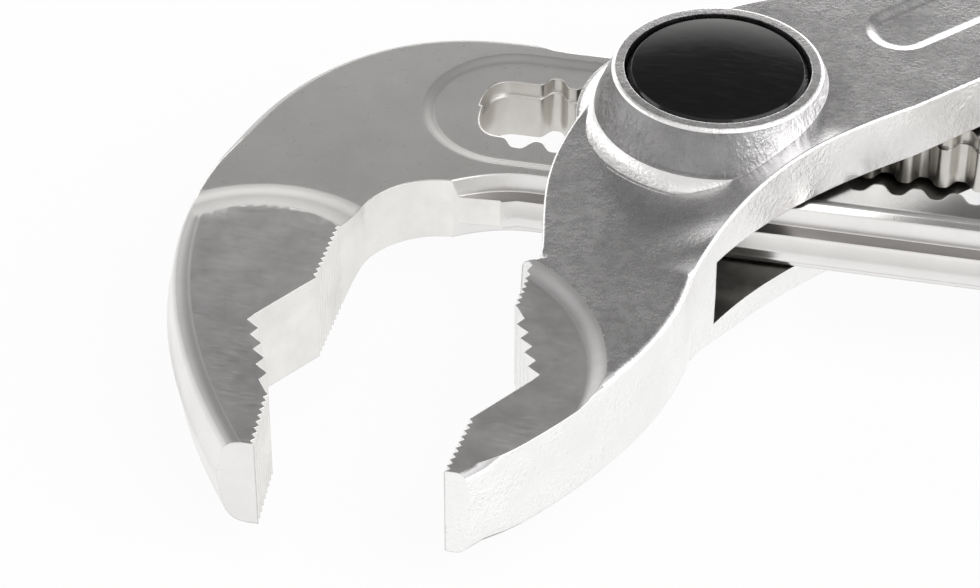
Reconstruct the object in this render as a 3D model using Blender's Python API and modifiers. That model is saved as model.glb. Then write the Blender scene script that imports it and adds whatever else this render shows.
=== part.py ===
"""Water pump pliers with a box joint and a push-button lock, at rest with the jaws parallel.

Metres, +Z up. The pivot axis is +Z through the origin, X runs along the slotted arm towards its handle,
and the tool lies on the outer face of its back cover at Z = 0. Every piece is modelled about the tool's
middle plane and hangs on an empty that stands on the pivot axis at that height.
"""

import math
from collections import namedtuple

import bmesh
import bpy
from mathutils import Vector

MM = 0.001

# Clearances
RUN_GAP = 0.3 * MM
SLIDE_GAP = 0.25 * MM
JAW_GAP = 0.15 * MM

# Thicknesses, measured from the middle plane
ARM_HALF = 3.6 * MM
TONGUE_HALF = 1.65 * MM
PANEL_DEPTH = 0.45 * MM
JAW_HALF = 4.6 * MM
JAW_BACK = 5.3 * MM
NEAR_CHEEK = 6.3 * MM
FAR_CHEEK = 3.1 * MM
BOSS_RISE = 1.4 * MM
COVER_THICK = 1.1 * MM
COVER_PROUD = 0.2 * MM
COVER_CHAMFER = 0.4 * MM

# Slotted arm
RIM_HALF_WIDTH = 11.4 * MM
TONGUE_HALF_WIDTH = 12.7 * MM
PANEL_HALF_WIDTH = 9.7 * MM
PANEL_SLOPE = 1.5 * MM
NOTCH_PITCH = 3.85 * MM
NOTCHES_TO_JAW = 5
NOTCHES_TO_HANDLE = 8
SLOT_NEAR = 5.55 * MM
SLOT_FAR = 4.95 * MM
SLOT_WAVE = 0.7 * MM
SLOT_END = 2.9 * MM
SLOT_END_FULLNESS = 2.6
SLOT_TIER = 1.6 * MM
SLOT_TIER_DEPTH = 0.35 * MM
PANEL_END = 6.2 * MM
FORGED_EDGE = 2.8 * MM
MILLED_OFF = 0.12 * MM
RABBET_RAMP = 3.4 * MM

# Hook of the slotted jaw: places are measured from its face line and the arm's near edge
HOOK_PLACE = Vector((11.2, -10.8)) * MM
HOOK_REACH = 27.0 * MM
HOOK_FULLNESS = 2.3
HOOK_TIP_TAPER = 12.4 * MM
HOOK_TIP_POWER = 1.9
THROAT_PLACE = Vector((9.2, -9.1)) * MM
THROAT_RADIUS = 8.6 * MM
THROAT_EXIT = 13.7 * MM
PAD_PLACE = Vector((-6.4, -20.0)) * MM
PAD_RADIUS = 10.8 * MM
PAD_SLOPE = 5.2 * MM

# Jaw faces: the box jaw's face line stands off the pivot, and distances run from the root towards the tip
BOX_FACE_X = -13.8 * MM
FACE_DROP = 11.0 * MM
FACE_LEAN = 0.04
FACE_LENGTH = 32.6 * MM
FINE_PITCH = 0.86 * MM
FINE_DEPTH = 0.42 * MM
COARSE_PITCH = 2.2 * MM
COARSE_DEPTH = 0.95 * MM
POCKET_DEPTH = 4.1 * MM
SLOTTED_TOE = 1.2 * MM
BOX_TOE = 0.6 * MM
SLOTTED_FACE = (0.0, 8.2 * MM, 14.6 * MM, 24.8 * MM)
BOX_FACE = (2.6 * MM, 9.2 * MM, 18.8 * MM, 25.2 * MM)

# Box lever: places on the jaw and neck are measured from the box jaw's face line and the arm's near edge
BOX_BACK_PLACE = Vector((15.7, -12.8)) * MM
BOX_BACK_TAPER = 15.5 * MM
BOX_BACK_POWER = 1.8
BOX_FLAT_PLACE = Vector((-9.4, -30.4)) * MM
BOX_FLAT_RADIUS = 18.1 * MM
BOX_FLAT_SLOPE = 1.7 * MM
BOX_EDGE = 0.9 * MM
NECK_RISE = 0.95 * MM
NECK_FRONT = 0.8 * MM
NECK_FRONT_PULLS = (Vector((0.4, -6.4)) * MM, Vector((-2.6, -0.4)) * MM, Vector((-4.5, 19.1)) * MM)
NECK_BACK_PULLS = (Vector((19.45, 0.3)) * MM,)
NECK_EDGE = 0.8 * MM
BOSS_RADIUS = 10.7 * MM
BOSS_TAPER = 1.5 * MM
BOSS_FILLET = 1.2 * MM
BOSS_EDGE = 0.5 * MM
NECK_WALL_GAP = 8.3 * MM
HANDLE_WALL_GAP = 1.7 * MM
HANDLE_WALL_SLOPE = math.radians(15)

# Button, bolt and spring
BUTTON_TRAVEL = 2.8 * MM
BUTTON_RADIUS = 9.1 * MM
BUTTON_CROWN = 0.6 * MM
BUTTON_CROWN_POWER = 3.4
BUTTON_EDGE_ROUND = 0.45 * MM
BUTTON_SUNK = 0.15 * MM
BORE_FLOOR = 2.1 * MM
STEM_RADIUS = 3.5 * MM
SOCKET_DEPTH = 1.0 * MM
JOURNAL_RADIUS = 6.2 * MM
JOURNAL_DEPTH = 1.7 * MM
HOLLOW_RADIUS = 2.8 * MM
COVER_RADIUS = 7.4 * MM
WASHER_RADIUS = 2.4 * MM
WASHER_HOLE = 0.9 * MM
WASHER_THICK = 0.5 * MM
SPRING_WIRE = 0.65 * MM
SPRING_TURNS = 7

# Handles and grips
SLOTTED_RUN = 26.5 * MM
SLOTTED_BEND_RADIUS = 55.0 * MM
SLOTTED_BEND = math.radians(24)
SLOTTED_HANDLE = 116.0 * MM
BOX_HANDLE_ANGLE = math.radians(44)
BOX_HANDLE_LENGTH = 190.0 * MM
BOX_HANDLE_HALF = 11.25 * MM
BOX_HANDLE_SHIFT = 3.05 * MM
BOX_HANDLE_START = 14.0 * MM
BOX_TAPER_START = 42.0 * MM
BOX_TANG_START = 85.0 * MM
BOX_PANEL_START = 17.0 * MM
BOX_PANEL_END = 46.0 * MM
BOX_PANEL_HALF = 3.8 * MM
TANG_HALF_WIDTH = 6.2 * MM
TANG_HALF = 4.0 * MM
GRIP_WALL = 3.4 * MM
GRIP_GUARD = 1.6 * MM
GRIP_SWELL = 1.4 * MM
GRIP_LENGTH = 105.0 * MM

# Heights that follow from the sizes above
CHEEK_INNER = ARM_HALF + RUN_GAP
HANDLE_TOP = CHEEK_INNER + NEAR_CHEEK
BOSS_TOP = HANDLE_TOP + BOSS_RISE
FAR_BACK = -(CHEEK_INNER + FAR_CHEEK)
PANEL_FACE = ARM_HALF - PANEL_DEPTH
COLLAR_TOP = BUTTON_TRAVEL - PANEL_FACE - SLIDE_GAP
JOURNAL_TOP = -(PANEL_FACE + RUN_GAP)
JOURNAL_BOTTOM = -(CHEEK_INNER + JOURNAL_DEPTH)
COVER_TOP = JOURNAL_BOTTOM - BUTTON_TRAVEL - RUN_GAP
COVER_FACE = COVER_TOP - COVER_THICK
FAR_BOSS_FACE = COVER_FACE + COVER_PROUD
SHOULDER = CHEEK_INNER - RUN_GAP
BUTTON_FLOOR = CHEEK_INNER + BORE_FLOOR
BUTTON_UNDERSIDE = BUTTON_FLOOR + BUTTON_TRAVEL + RUN_GAP
BUTTON_EDGE = BOSS_TOP - BUTTON_SUNK
BOLT_RADIUS = SLOT_FAR - SLOT_WAVE - RUN_GAP
LAST_WAVE_X = -(NOTCHES_TO_JAW + 0.5) * NOTCH_PITCH
FIRST_LAND_X = (NOTCHES_TO_HANDLE + 1) * NOTCH_PITCH
SLOT_START_X = LAST_WAVE_X - SLOT_END
SLOT_STOP_X = FIRST_LAND_X + SLOT_END
SLOTTED_BEND_X = SLOT_STOP_X + SLOTTED_RUN
ARM_CENTRE_Y = (SLOT_FAR - SLOT_NEAR) / 2
ARM_NEAR_Y = ARM_CENTRE_Y - TONGUE_HALF_WIDTH
FACE_SHIFT = NOTCHES_TO_JAW * NOTCH_PITCH + JAW_GAP
MIDDLE_PLANE = -COVER_FACE

# Places that follow from the sizes above
BOX_CORNER = Vector((BOX_FACE_X, ARM_NEAR_Y))
HOOK_CORNER = Vector((BOX_FACE_X - FACE_SHIFT, ARM_NEAR_Y))
HOOK_CENTRE = HOOK_CORNER + HOOK_PLACE
THROAT_CENTRE = HOOK_CORNER + THROAT_PLACE
THROAT_EXIT_X = HOOK_CORNER.x + THROAT_EXIT
PAD_CENTRE = HOOK_CORNER + PAD_PLACE
FACE_ROOT = HOOK_CORNER - Vector((0.0, FACE_DROP))
BOX_BACK = BOX_CORNER + BOX_BACK_PLACE
BOX_FLAT_CENTRE = BOX_CORNER + BOX_FLAT_PLACE
NECK_FRONT_X = BOX_CORNER.x + NECK_FRONT
NECK_WALL_Y = ARM_NEAR_Y - NECK_WALL_GAP

# Facets
ROUND_STEPS = 48
WAVE_STEPS = 10
TIP_STEPS = 7
HOOK_STEPS = 15
BEND_STEPS = 6
JAW_STEPS = 7
NECK_STEPS = 13
TAPER_STEPS = 5
SOFT_STEPS = 5
SOFT_START = 0.12
FAR_OUT = 30.0 * MM
DEEP = 20.0 * MM

Station = namedtuple("Station", "left right low high_left high_mid high_right edge")


def start_scene():
    """Empty the scene and make the two collections and the empty that carries every piece."""
    for old in list(bpy.data.objects):
        bpy.data.objects.remove(old, do_unlink=True)
    made = []
    for name in ("water_pump_pliers", "cutters"):
        collection = bpy.data.collections.new(name)
        bpy.context.scene.collection.children.link(collection)
        made.append(collection)
    pivot = bpy.data.objects.new("pivot_axis", None)
    pivot.location.z = MIDDLE_PLANE
    made[0].objects.link(pivot)
    return made[0], made[1], pivot


PARTS, CUTTERS, PIVOT = start_scene()


def material(name, colour, roughness, metallic):
    made = bpy.data.materials.new(name)
    made.use_nodes = True
    shader = made.node_tree.nodes["Principled BSDF"]
    shader.inputs["Base Color"].default_value = (*colour, 1.0)
    shader.inputs["Roughness"].default_value = roughness
    shader.inputs["Metallic"].default_value = metallic
    return made


def add(name, mesh, finish=None):
    """Put a mesh on the pivot empty: a piece if it has a finish, otherwise a cutter."""
    made = bpy.data.objects.new(name, mesh)
    made.parent = PIVOT
    if finish:
        mesh.materials.append(finish)
        PARTS.objects.link(made)
    else:
        made.hide_render = True
        made.display_type = "WIRE"
        CUTTERS.objects.link(made)
    return made


def shade(mesh, degrees=32):
    mesh.shade_smooth()
    mesh.set_sharp_from_angle(angle=math.radians(degrees))


def mesh_from(build, name):
    """A mesh from a bmesh, with its faces turned outwards."""
    bmesh.ops.recalc_face_normals(build, faces=build.faces)
    mesh = bpy.data.meshes.new(name)
    build.to_mesh(mesh)
    build.free()
    return mesh


def curve_mesh(curve, name):
    """The welded mesh of a curve, so that Booleans can use it."""
    source = bpy.data.objects.new(name, curve)
    CUTTERS.objects.link(source)
    graph = bpy.context.evaluated_depsgraph_get()
    mesh = bpy.data.meshes.new_from_object(source.evaluated_get(graph))
    bpy.data.objects.remove(source)
    build = bmesh.new()
    build.from_mesh(mesh)
    bmesh.ops.remove_doubles(build, verts=build.verts, dist=0.001 * MM)
    bpy.data.meshes.remove(mesh)
    return mesh_from(build, name)


def corners(outline):
    """The outline without the points that lie on the line between their neighbours."""
    points = [Vector(point) for point in outline]
    kept = []
    for before, point, after in zip(points[-1:] + points, points, points[1:] + points[:1]):
        across = after - before
        if abs((point - before).cross(across)) > 0.002 * MM * across.length:
            kept.append(point)
    return kept


def prism(name, outline, low, high):
    """A flat outline, extruded from one height to another."""
    outline = corners(outline)
    curve = bpy.data.curves.new(name, "CURVE")
    curve.dimensions = "2D"
    curve.fill_mode = "BOTH"
    curve.extrude = (high - low) / 2
    spline = curve.splines.new("POLY")
    spline.points.add(len(outline) - 1)
    for point, (x, y) in zip(spline.points, outline):
        point.co = (x, y, 0.0, 1.0)
    spline.use_cyclic_u = True
    mesh = curve_mesh(curve, name)
    for vertex in mesh.vertices:
        vertex.co.z += (high + low) / 2
    return mesh


def turned(name, profile):
    """A profile of (radius, height) points, outer side from top to bottom, turned about the pivot axis."""
    mesh = bpy.data.meshes.new(name)
    edges = [(i, i + 1) for i in range(len(profile) - 1)]
    mesh.from_pydata([(r, 0.0, z) for r, z in profile], edges, [])
    source = bpy.data.objects.new(name, mesh)
    CUTTERS.objects.link(source)
    screw = source.modifiers.new("turn", "SCREW")
    screw.steps = ROUND_STEPS
    screw.render_steps = ROUND_STEPS
    screw.use_merge_vertices = True
    screw.merge_threshold = 0.001 * MM
    graph = bpy.context.evaluated_depsgraph_get()
    made = bpy.data.meshes.new_from_object(source.evaluated_get(graph))
    bpy.data.objects.remove(source)
    build = bmesh.new()
    build.from_mesh(made)
    bmesh.ops.remove_doubles(build, verts=build.verts, dist=0.001 * MM)
    bpy.data.meshes.remove(made)
    return mesh_from(build, name)


def stadium(name, start, end, profile):
    """Upright stadium rings round two centres, stacked by a profile of (radius, height) points and closed."""
    build = bmesh.new()
    along = end - start
    heading = math.atan2(along.y, along.x)
    half = ROUND_STEPS // 2
    rings = []
    for radius, height in profile:
        made = []
        for centre, first in ((end, heading - math.pi / 2), (start, heading + math.pi / 2)):
            for i in range(half + 1):
                turn = first + math.pi * i / half
                x, y = centre + Vector((math.cos(turn), math.sin(turn))) * radius
                made.append(build.verts.new((x, y, height)))
        rings.append(made)
    skin(build, rings)
    bmesh.ops.remove_doubles(build, verts=build.verts, dist=0.001 * MM)
    return mesh_from(build, name)


def skin(build, rings):
    """Faces between neighbouring rings, and a cap on both ends."""
    for first, second in zip(rings, rings[1:]):
        for i, corner in enumerate(first):
            build.faces.new((first[i - 1], corner, second[i], second[i - 1]))
    build.faces.new(rings[0])
    build.faces.new(rings[-1])


def block(name, low, high):
    """A box between two corners."""
    build = bmesh.new()
    made = bmesh.ops.create_cube(build, size=1.0)
    size = Vector(high) - Vector(low)
    bmesh.ops.scale(build, vec=size, verts=made["verts"])
    bmesh.ops.translate(build, vec=(Vector(high) + Vector(low)) / 2, verts=made["verts"])
    return mesh_from(build, name)


def boolean(target, operation, cutters):
    """Join or cut the target with meshes, in their order."""
    for mesh in cutters:
        modifier = target.modifiers.new(mesh.name, "BOOLEAN")
        modifier.operation = operation
        modifier.solver = "EXACT"
        modifier.object = add(f"{target.name}_{mesh.name}", mesh)


def ring(station):
    """One section of a forging: rounded edges, sides that swell to the parting line, and a hollowed top."""
    left = Vector(station.left)
    across = Vector(station.right) - left
    width = across.length
    across /= width
    edge = min(station.edge, width / 3, (station.high_left - station.low) / 3)
    swell = edge / 4
    corner = [math.radians(turn) for turn in (0, 30, 60, 90)]
    inset = [edge * (1 - math.cos(turn)) for turn in corner]
    drop = [edge * (1 - math.sin(turn)) for turn in corner]
    bow = station.high_mid - (station.high_left + station.high_right) / 2
    outline = [(u, station.high_left - d) for u, d in zip(inset, drop)]
    for share in (0.25, 0.5, 0.75):
        height = mix(station.high_left, station.high_right, share) + bow * 4 * share * (1 - share)
        outline.append((mix(edge, width - edge, share), height))
    outline += [(width - u, station.high_right - d) for u, d in reversed(list(zip(inset, drop)))]
    outline.append((width + swell, 0.0))
    outline += [(width - u, station.low + d) for u, d in zip(inset, drop)]
    outline += [(u, station.low + d) for u, d in reversed(list(zip(inset, drop)))]
    outline.append((-swell, 0.0))
    return [(*(left + across * u), z) for u, z in outline]


def loft(name, stations):
    """A closed skin through the rings of the stations."""
    build = bmesh.new()
    skin(build, [[build.verts.new(point) for point in ring(station)] for station in stations])
    return mesh_from(build, name)


def ease(share):
    """A smooth step from 0 to 1."""
    share = min(max(share, 0.0), 1.0)
    return share * share * (3 - 2 * share)


def mix(low, high, share):
    return low + (high - low) * share


def wave(x):
    """The slot's wave, 1 at each notch, with broad crests and steep flanks."""
    swing = math.cos(2 * math.pi * x / NOTCH_PITCH)
    return swing * (1.5 - 0.5 * swing * swing)


def near_edge(x):
    return -(SLOT_NEAR + SLOT_WAVE * wave(x))


def far_edge(x):
    return SLOT_FAR - SLOT_WAVE * wave(x)


def slot_outline():
    """Both edges wave in step, so the slot keeps its width. Past the last notch the far edge runs level."""
    outline = [(x, near_edge(x)) for x in wave_places()]
    outline += slot_end(FIRST_LAND_X, near_edge(FIRST_LAND_X), far_edge(FIRST_LAND_X), 1)
    far_side = far_points()
    outline += far_side
    outline += reversed(slot_end(LAST_WAVE_X, near_edge(LAST_WAVE_X), far_side[-1][1], -1))
    return outline


def wave_places():
    """Where the waves are sampled, from the slot's jaw end to its handle end."""
    steps = round((FIRST_LAND_X - LAST_WAVE_X) / NOTCH_PITCH * WAVE_STEPS)
    return [mix(LAST_WAVE_X, FIRST_LAND_X, i / steps) for i in range(steps + 1)]


def far_points():
    """The slot's far edge, from its handle end to its jaw end."""
    last_notch = -NOTCHES_TO_JAW * NOTCH_PITCH
    waved = last_notch - NOTCH_PITCH / WAVE_STEPS / 2
    points = [(x, far_edge(x)) for x in reversed(wave_places()) if x > waved]
    return points + [(LAST_WAVE_X, far_edge(last_notch))]


def tier_outline():
    """The upper tier of the slot's far wall and jaw end, which stands a little further back."""
    back = [(x, y + SLOT_TIER_DEPTH) for x, y in far_points()]
    end = slot_end(LAST_WAVE_X, near_edge(LAST_WAVE_X), back[-1][1], -1, SLOT_TIER_DEPTH)
    end = [point for point in reversed(end) if point[1] > 0]
    return [(FIRST_LAND_X, 0.0)] + back + end + [(end[-1][0], 0.0)]


def slot_end(x, low, high, side, extra=0.0):
    """Half a full oval from the near edge to the far edge."""
    middle, half = (low + high) / 2, (high - low) / 2
    power = 2 / SLOT_END_FULLNESS
    points = []
    for i in range(1, WAVE_STEPS):
        turn = math.pi * i / WAVE_STEPS
        swing = math.cos(turn)
        rise = math.copysign(abs(swing) ** power, swing)
        points.append((x + side * (SLOT_END + extra) * math.sin(turn) ** power, middle - half * rise))
    return points


def face_point(distance, depth=0.0):
    """A point on the slotted jaw's face line, or sunk into that jaw."""
    x = FACE_ROOT.x - FACE_LEAN * distance - depth
    return Vector((x, FACE_ROOT.y - distance))


def teeth(start, end, pitch, depth, into):
    """Saw teeth from one point to another, with crests on the line and roots sunk sideways."""
    count = max(1, round((end - start).length / pitch))
    points = []
    for i in range(count):
        points.append(start.lerp(end, i / count))
        points.append(start.lerp(end, (i + 0.5) / count) + into * depth)
    points.append(end)
    return points


def slotted_face():
    """The slotted jaw from root to tip: fine teeth, a plain slope into a pocket, coarse teeth, fine teeth."""
    root, pocket, deepest, leaves = SLOTTED_FACE
    into = Vector((-1.0, 0.0))
    points = teeth(face_point(root), face_point(pocket), FINE_PITCH, FINE_DEPTH, into)
    deep = face_point(deepest, POCKET_DEPTH)
    edge = face_point(leaves, -toe(SLOTTED_TOE, deepest, leaves))
    points += teeth(deep, edge, COARSE_PITCH, COARSE_DEPTH, into)
    points += teeth(edge, face_point(FACE_LENGTH, -SLOTTED_TOE), FINE_PITCH, FINE_DEPTH, into)
    return points


def toe(reach, start, distance):
    """How far a face leans towards the other jaw, from none at its pocket to its full reach at the tip."""
    return reach * ((distance - start) / (FACE_LENGTH - start)) ** 2


def box_face():
    """The box jaw from root to tip: its pocket has the coarse teeth on the side nearer the root."""
    root, pocket, deepest, leaves = BOX_FACE
    shift = Vector((FACE_SHIFT, 0.0))
    into = Vector((1.0, 0.0))
    points = teeth(face_point(root) + shift, face_point(pocket) + shift, FINE_PITCH, FINE_DEPTH, into)
    deep = face_point(deepest, -POCKET_DEPTH) + shift
    points += teeth(face_point(pocket) + shift, deep, COARSE_PITCH, COARSE_DEPTH, into)
    edge = face_point(leaves, toe(BOX_TOE, deepest, leaves)) + shift
    points += teeth(edge, face_point(FACE_LENGTH, BOX_TOE) + shift, FINE_PITCH, FINE_DEPTH, into)
    return points


def throat_outline():
    """What is milled out of the hook: the jaw's face, then the round throat up to the arm's edge."""
    tip = face_point(FACE_LENGTH)
    outline = [(tip.x, tip.y - DEEP)] + list(reversed(slotted_face()))
    for degrees in range(160, 85, -6):
        turn = math.radians(degrees)
        outline.append(THROAT_CENTRE + Vector((math.cos(turn), math.sin(turn))) * THROAT_RADIUS)
    outline.append((THROAT_EXIT_X, ARM_NEAR_Y - SLIDE_GAP))
    outline.append((THROAT_EXIT_X + FAR_OUT / 4, ARM_NEAR_Y - THROAT_RADIUS))
    outline.append((THROAT_EXIT_X + FAR_OUT / 4, tip.y - DEEP))
    return outline


def hook_station(share):
    """Sections round the hook, from its widest point (0) to the arm (1)."""
    turn = math.pi / 2 * share
    power = 2 / HOOK_FULLNESS
    rise = ARM_CENTRE_Y + TONGUE_HALF_WIDTH - HOOK_CENTRE.y
    outer = HOOK_CENTRE + Vector((-HOOK_REACH * math.cos(turn) ** power, rise * math.sin(turn) ** power))
    reach = THROAT_RADIUS - FINE_DEPTH * 4
    inner = THROAT_CENTRE + Vector((-math.cos(turn), math.sin(turn))) * reach
    return hook_section(outer, inner, ease(share / 0.3))


def hook_section(outer, inner, share):
    """A section of the lever: jaw thickness at 0, arm thickness with something left to mill at 1."""
    arm = ARM_HALF + MILLED_OFF
    made = plain_station(outer, inner, mix(JAW_HALF, arm, share), mix(FORGED_EDGE * 0.75, FORGED_EDGE, share))
    return made._replace(low=-mix(JAW_BACK, arm, share))


def tip_station(share):
    """Sections of the hook's jaw, from the tip (0) to the hook's widest point (1)."""
    tip_y = face_point(FACE_LENGTH).y
    y = mix(tip_y, HOOK_CENTRE.y, share)
    taper = HOOK_TIP_TAPER * (1 - share) ** HOOK_TIP_POWER
    outer = Vector((HOOK_CENTRE.x - HOOK_REACH + taper, y))
    inner = Vector((THROAT_CENTRE.x - THROAT_RADIUS + FINE_DEPTH * 4, y))
    return hook_section(outer, inner, 0.0)


def plain_station(left, right, half, edge):
    return Station(left, right, -half, half, half, half, edge)


def bent_axis(distance):
    """A point and a heading on the slotted handle: a bend, then a straight run."""
    bend = SLOTTED_BEND_RADIUS * SLOTTED_BEND
    turn = min(distance, bend) / SLOTTED_BEND_RADIUS
    point = Vector((SLOTTED_BEND_X + SLOTTED_BEND_RADIUS * math.sin(turn), 0.0))
    point.y = ARM_CENTRE_Y + SLOTTED_BEND_RADIUS * (1 - math.cos(turn))
    straight = max(0.0, distance - bend)
    return point + Vector((math.cos(turn), math.sin(turn))) * straight, turn


def straight_axis(distance):
    """A point and a heading on the box lever's handle, which swings in to the line through the pivot."""
    along = Vector((math.cos(BOX_HANDLE_ANGLE), math.sin(BOX_HANDLE_ANGLE)))
    shift = BOX_HANDLE_SHIFT * (1 - ease((distance - BOX_PANEL_START) / (BOX_TANG_START - BOX_PANEL_START)))
    return along * distance + Vector((along.y, -along.x)) * shift, BOX_HANDLE_ANGLE


def across_axis(axis, distance, half_width, half, extra=0.0):
    """A section square to a handle's axis."""
    point, turn = axis(distance)
    side = Vector((math.sin(turn), -math.cos(turn))) * (half_width + extra)
    edge = min(half_width, half) * 0.6 + extra
    return plain_station(point - side, point + side, half + extra, edge)


def slotted_handle(distance, extra=0.0):
    share = ease(distance / (SLOTTED_BEND_RADIUS * SLOTTED_BEND))
    half_width = mix(TONGUE_HALF_WIDTH, TANG_HALF_WIDTH, share)
    made = across_axis(bent_axis, distance, half_width, mix(ARM_HALF + MILLED_OFF, TANG_HALF, share), extra)
    return made._replace(edge=mix(FORGED_EDGE, made.edge, share))


def box_handle(distance, extra=0.0):
    share = ease((distance - BOX_TAPER_START) / (BOX_TANG_START - BOX_TAPER_START))
    half_width = mix(BOX_HANDLE_HALF, TANG_HALF_WIDTH, share)
    made = across_axis(straight_axis, distance, half_width, TANG_HALF, extra)
    low = mix(FAR_BACK, -TANG_HALF, share) - extra
    high = mix(HANDLE_TOP, TANG_HALF, share) + extra
    edge = mix(NECK_EDGE, made.edge, share)
    return made._replace(low=low, high_left=high, high_mid=high, high_right=high, edge=edge)


def make_slotted_lever(steel):
    tip = [tip_station(i / TIP_STEPS) for i in range(TIP_STEPS)]
    hook = [hook_station(i / HOOK_STEPS) for i in range(HOOK_STEPS + 1)]
    bend_length = SLOTTED_BEND_RADIUS * SLOTTED_BEND
    handle_length = bend_length + SLOTTED_HANDLE
    bend = [slotted_handle(bend_length * i / BEND_STEPS) for i in range(BEND_STEPS + 1)]
    side = Vector((0.0, TONGUE_HALF_WIDTH))
    centre = Vector((THROAT_EXIT_X + RABBET_RAMP / 2, ARM_CENTRE_Y))
    arm = [hook_section(centre + side, centre - side, 1.0)]
    stations = tip + hook + arm + bend + [slotted_handle(handle_length)]
    lever = add("slotted_lever", loft("slotted_lever", stations), steel)
    cutters = []
    for side, name, height in ((1, "top", JAW_HALF), (-1, "back", JAW_BACK)):
        cutters.append(arm_face(name, side, height))
    boolean(lever, "DIFFERENCE", cutters)
    edges = []
    for side_y in (1, -1):
        for side_z in (1, -1):
            name = f"rabbet_{'far' if side_y > 0 else 'near'}_{'top' if side_z > 0 else 'back'}"
            edges.append(rabbet(name, side_y, side_z))
    boolean(lever, "DIFFERENCE", edges)
    panels = [panel(name, side) for side, name in ((1, "panel_top"), (-1, "panel_back"))]
    boolean(lever, "DIFFERENCE", panels)
    slot = prism("slot", slot_outline(), -DEEP, DEEP)
    tier = prism("slot_tier", tier_outline(), SLOT_TIER, DEEP)
    throat = prism("throat", throat_outline(), -DEEP, DEEP)
    boolean(lever, "DIFFERENCE", [slot, tier, throat])


def rabbet(name, side_y, side_z):
    """The step along one long edge of the arm, which runs out in a ramp at both ends."""
    ys = sorted((ARM_CENTRE_Y + side_y * RIM_HALF_WIDTH, side_y * FAR_OUT))
    zs = sorted((side_z * TONGUE_HALF, side_z * 2 * ARM_HALF))
    start = THROAT_EXIT_X - RABBET_RAMP / 3
    mesh = block(name, (start, ys[0], zs[0]), (SLOTTED_BEND_X - RABBET_RAMP * 1.5, ys[1], zs[1]))
    slope = RABBET_RAMP / (ARM_HALF - TONGUE_HALF)
    for vertex in mesh.vertices:
        ramp = (abs(vertex.co.z) - TONGUE_HALF) * slope
        vertex.co.x += ramp if vertex.co.x > 0 else -ramp
    return mesh


def arm_face(name, side, jaw):
    """What is milled off one face of the lever: all but the jaw's pad, which runs down to it in a hollow."""
    ys = (PAD_CENTRE.y - FAR_OUT * 2, FAR_OUT)
    low, high = sorted((side * ARM_HALF, side * DEEP))
    stop = SLOTTED_BEND_X - RABBET_RAMP / 4
    cutter = add(f"face_{name}", block(f"face_{name}", (-FAR_OUT * 3, ys[0], low), (stop, ys[1], high)))
    rise = jaw - ARM_HALF
    profile = []
    for i in range(SOFT_STEPS + 1):
        share = mix(SOFT_START, 1.0, i / SOFT_STEPS)
        profile.append((PAD_RADIUS + PAD_SLOPE * (1 - share), side * (ARM_HALF + rise * share * share)))
    profile = [run_out(profile[1], profile[0])] + profile + [(PAD_RADIUS, side * (jaw + rise))]
    plug = stadium(f"pad_{name}", PAD_CENTRE, PAD_CENTRE - Vector((0.0, FAR_OUT * 3)), profile)
    boolean(cutter, "DIFFERENCE", [plug])
    return evaluated(cutter, f"milled_{name}")


def evaluated(source, name):
    """The mesh of an object with its modifiers, in place of the object."""
    graph = bpy.context.evaluated_depsgraph_get()
    mesh = bpy.data.meshes.new_from_object(source.evaluated_get(graph))
    mesh.name = name
    bpy.data.objects.remove(source)
    return mesh


def panel(name, side):
    """The shallow panel round the slot, with a soft slope along its edge."""
    start = Vector((SLOT_START_X - PANEL_END + PANEL_HALF_WIDTH, ARM_CENTRE_Y))
    end = Vector((SLOT_STOP_X + PANEL_END - PANEL_HALF_WIDTH, ARM_CENTRE_Y))
    profile = soft_edge(PANEL_HALF_WIDTH, PANEL_SLOPE, side * ARM_HALF, side * PANEL_DEPTH)
    return stadium(name, start, end, profile)


def soft_edge(radius, slope, face, depth):
    """A profile for a shallow panel: its floor, a soft slope up to the face, and on out of the metal."""
    profile = []
    for i in range(SOFT_STEPS + 1):
        share = mix(0.0, 1.0 - SOFT_START, i / SOFT_STEPS)
        profile.append((radius - slope * (1 - share), face - depth * (1 - ease(share))))
    profile.append(run_out(profile[-2], profile[-1]))
    return profile + [(profile[-1][0], face + depth)]


def run_out(before, last):
    """The next point on a straight line, so that a soft slope crosses a face instead of lying on it."""
    return tuple(2 * b - a for a, b in zip(before, last))


def box_jaw_station(share):
    """Sections of the box jaw, from its tip (0) to the neck (1)."""
    y = mix(face_point(FACE_LENGTH).y, BOX_BACK.y, share)
    back = BOX_BACK.x - BOX_BACK_TAPER * (1 - share) ** BOX_BACK_POWER
    front = face_point(FACE_LENGTH).x + FACE_SHIFT - FINE_DEPTH * 3
    if share == 1:
        front = NECK_FRONT_X
    made = plain_station(Vector((front, y)), Vector((back, y)), JAW_HALF + NECK_RISE, BOX_EDGE)
    return made._replace(low=-JAW_BACK - NECK_RISE / 3)


def bend_through(points, share):
    """A point on the smooth curve from the first point to the last, pulled by those between."""
    while len(points) > 1:
        points = [first.lerp(second, share) for first, second in zip(points, points[1:])]
    return points[0]


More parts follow.
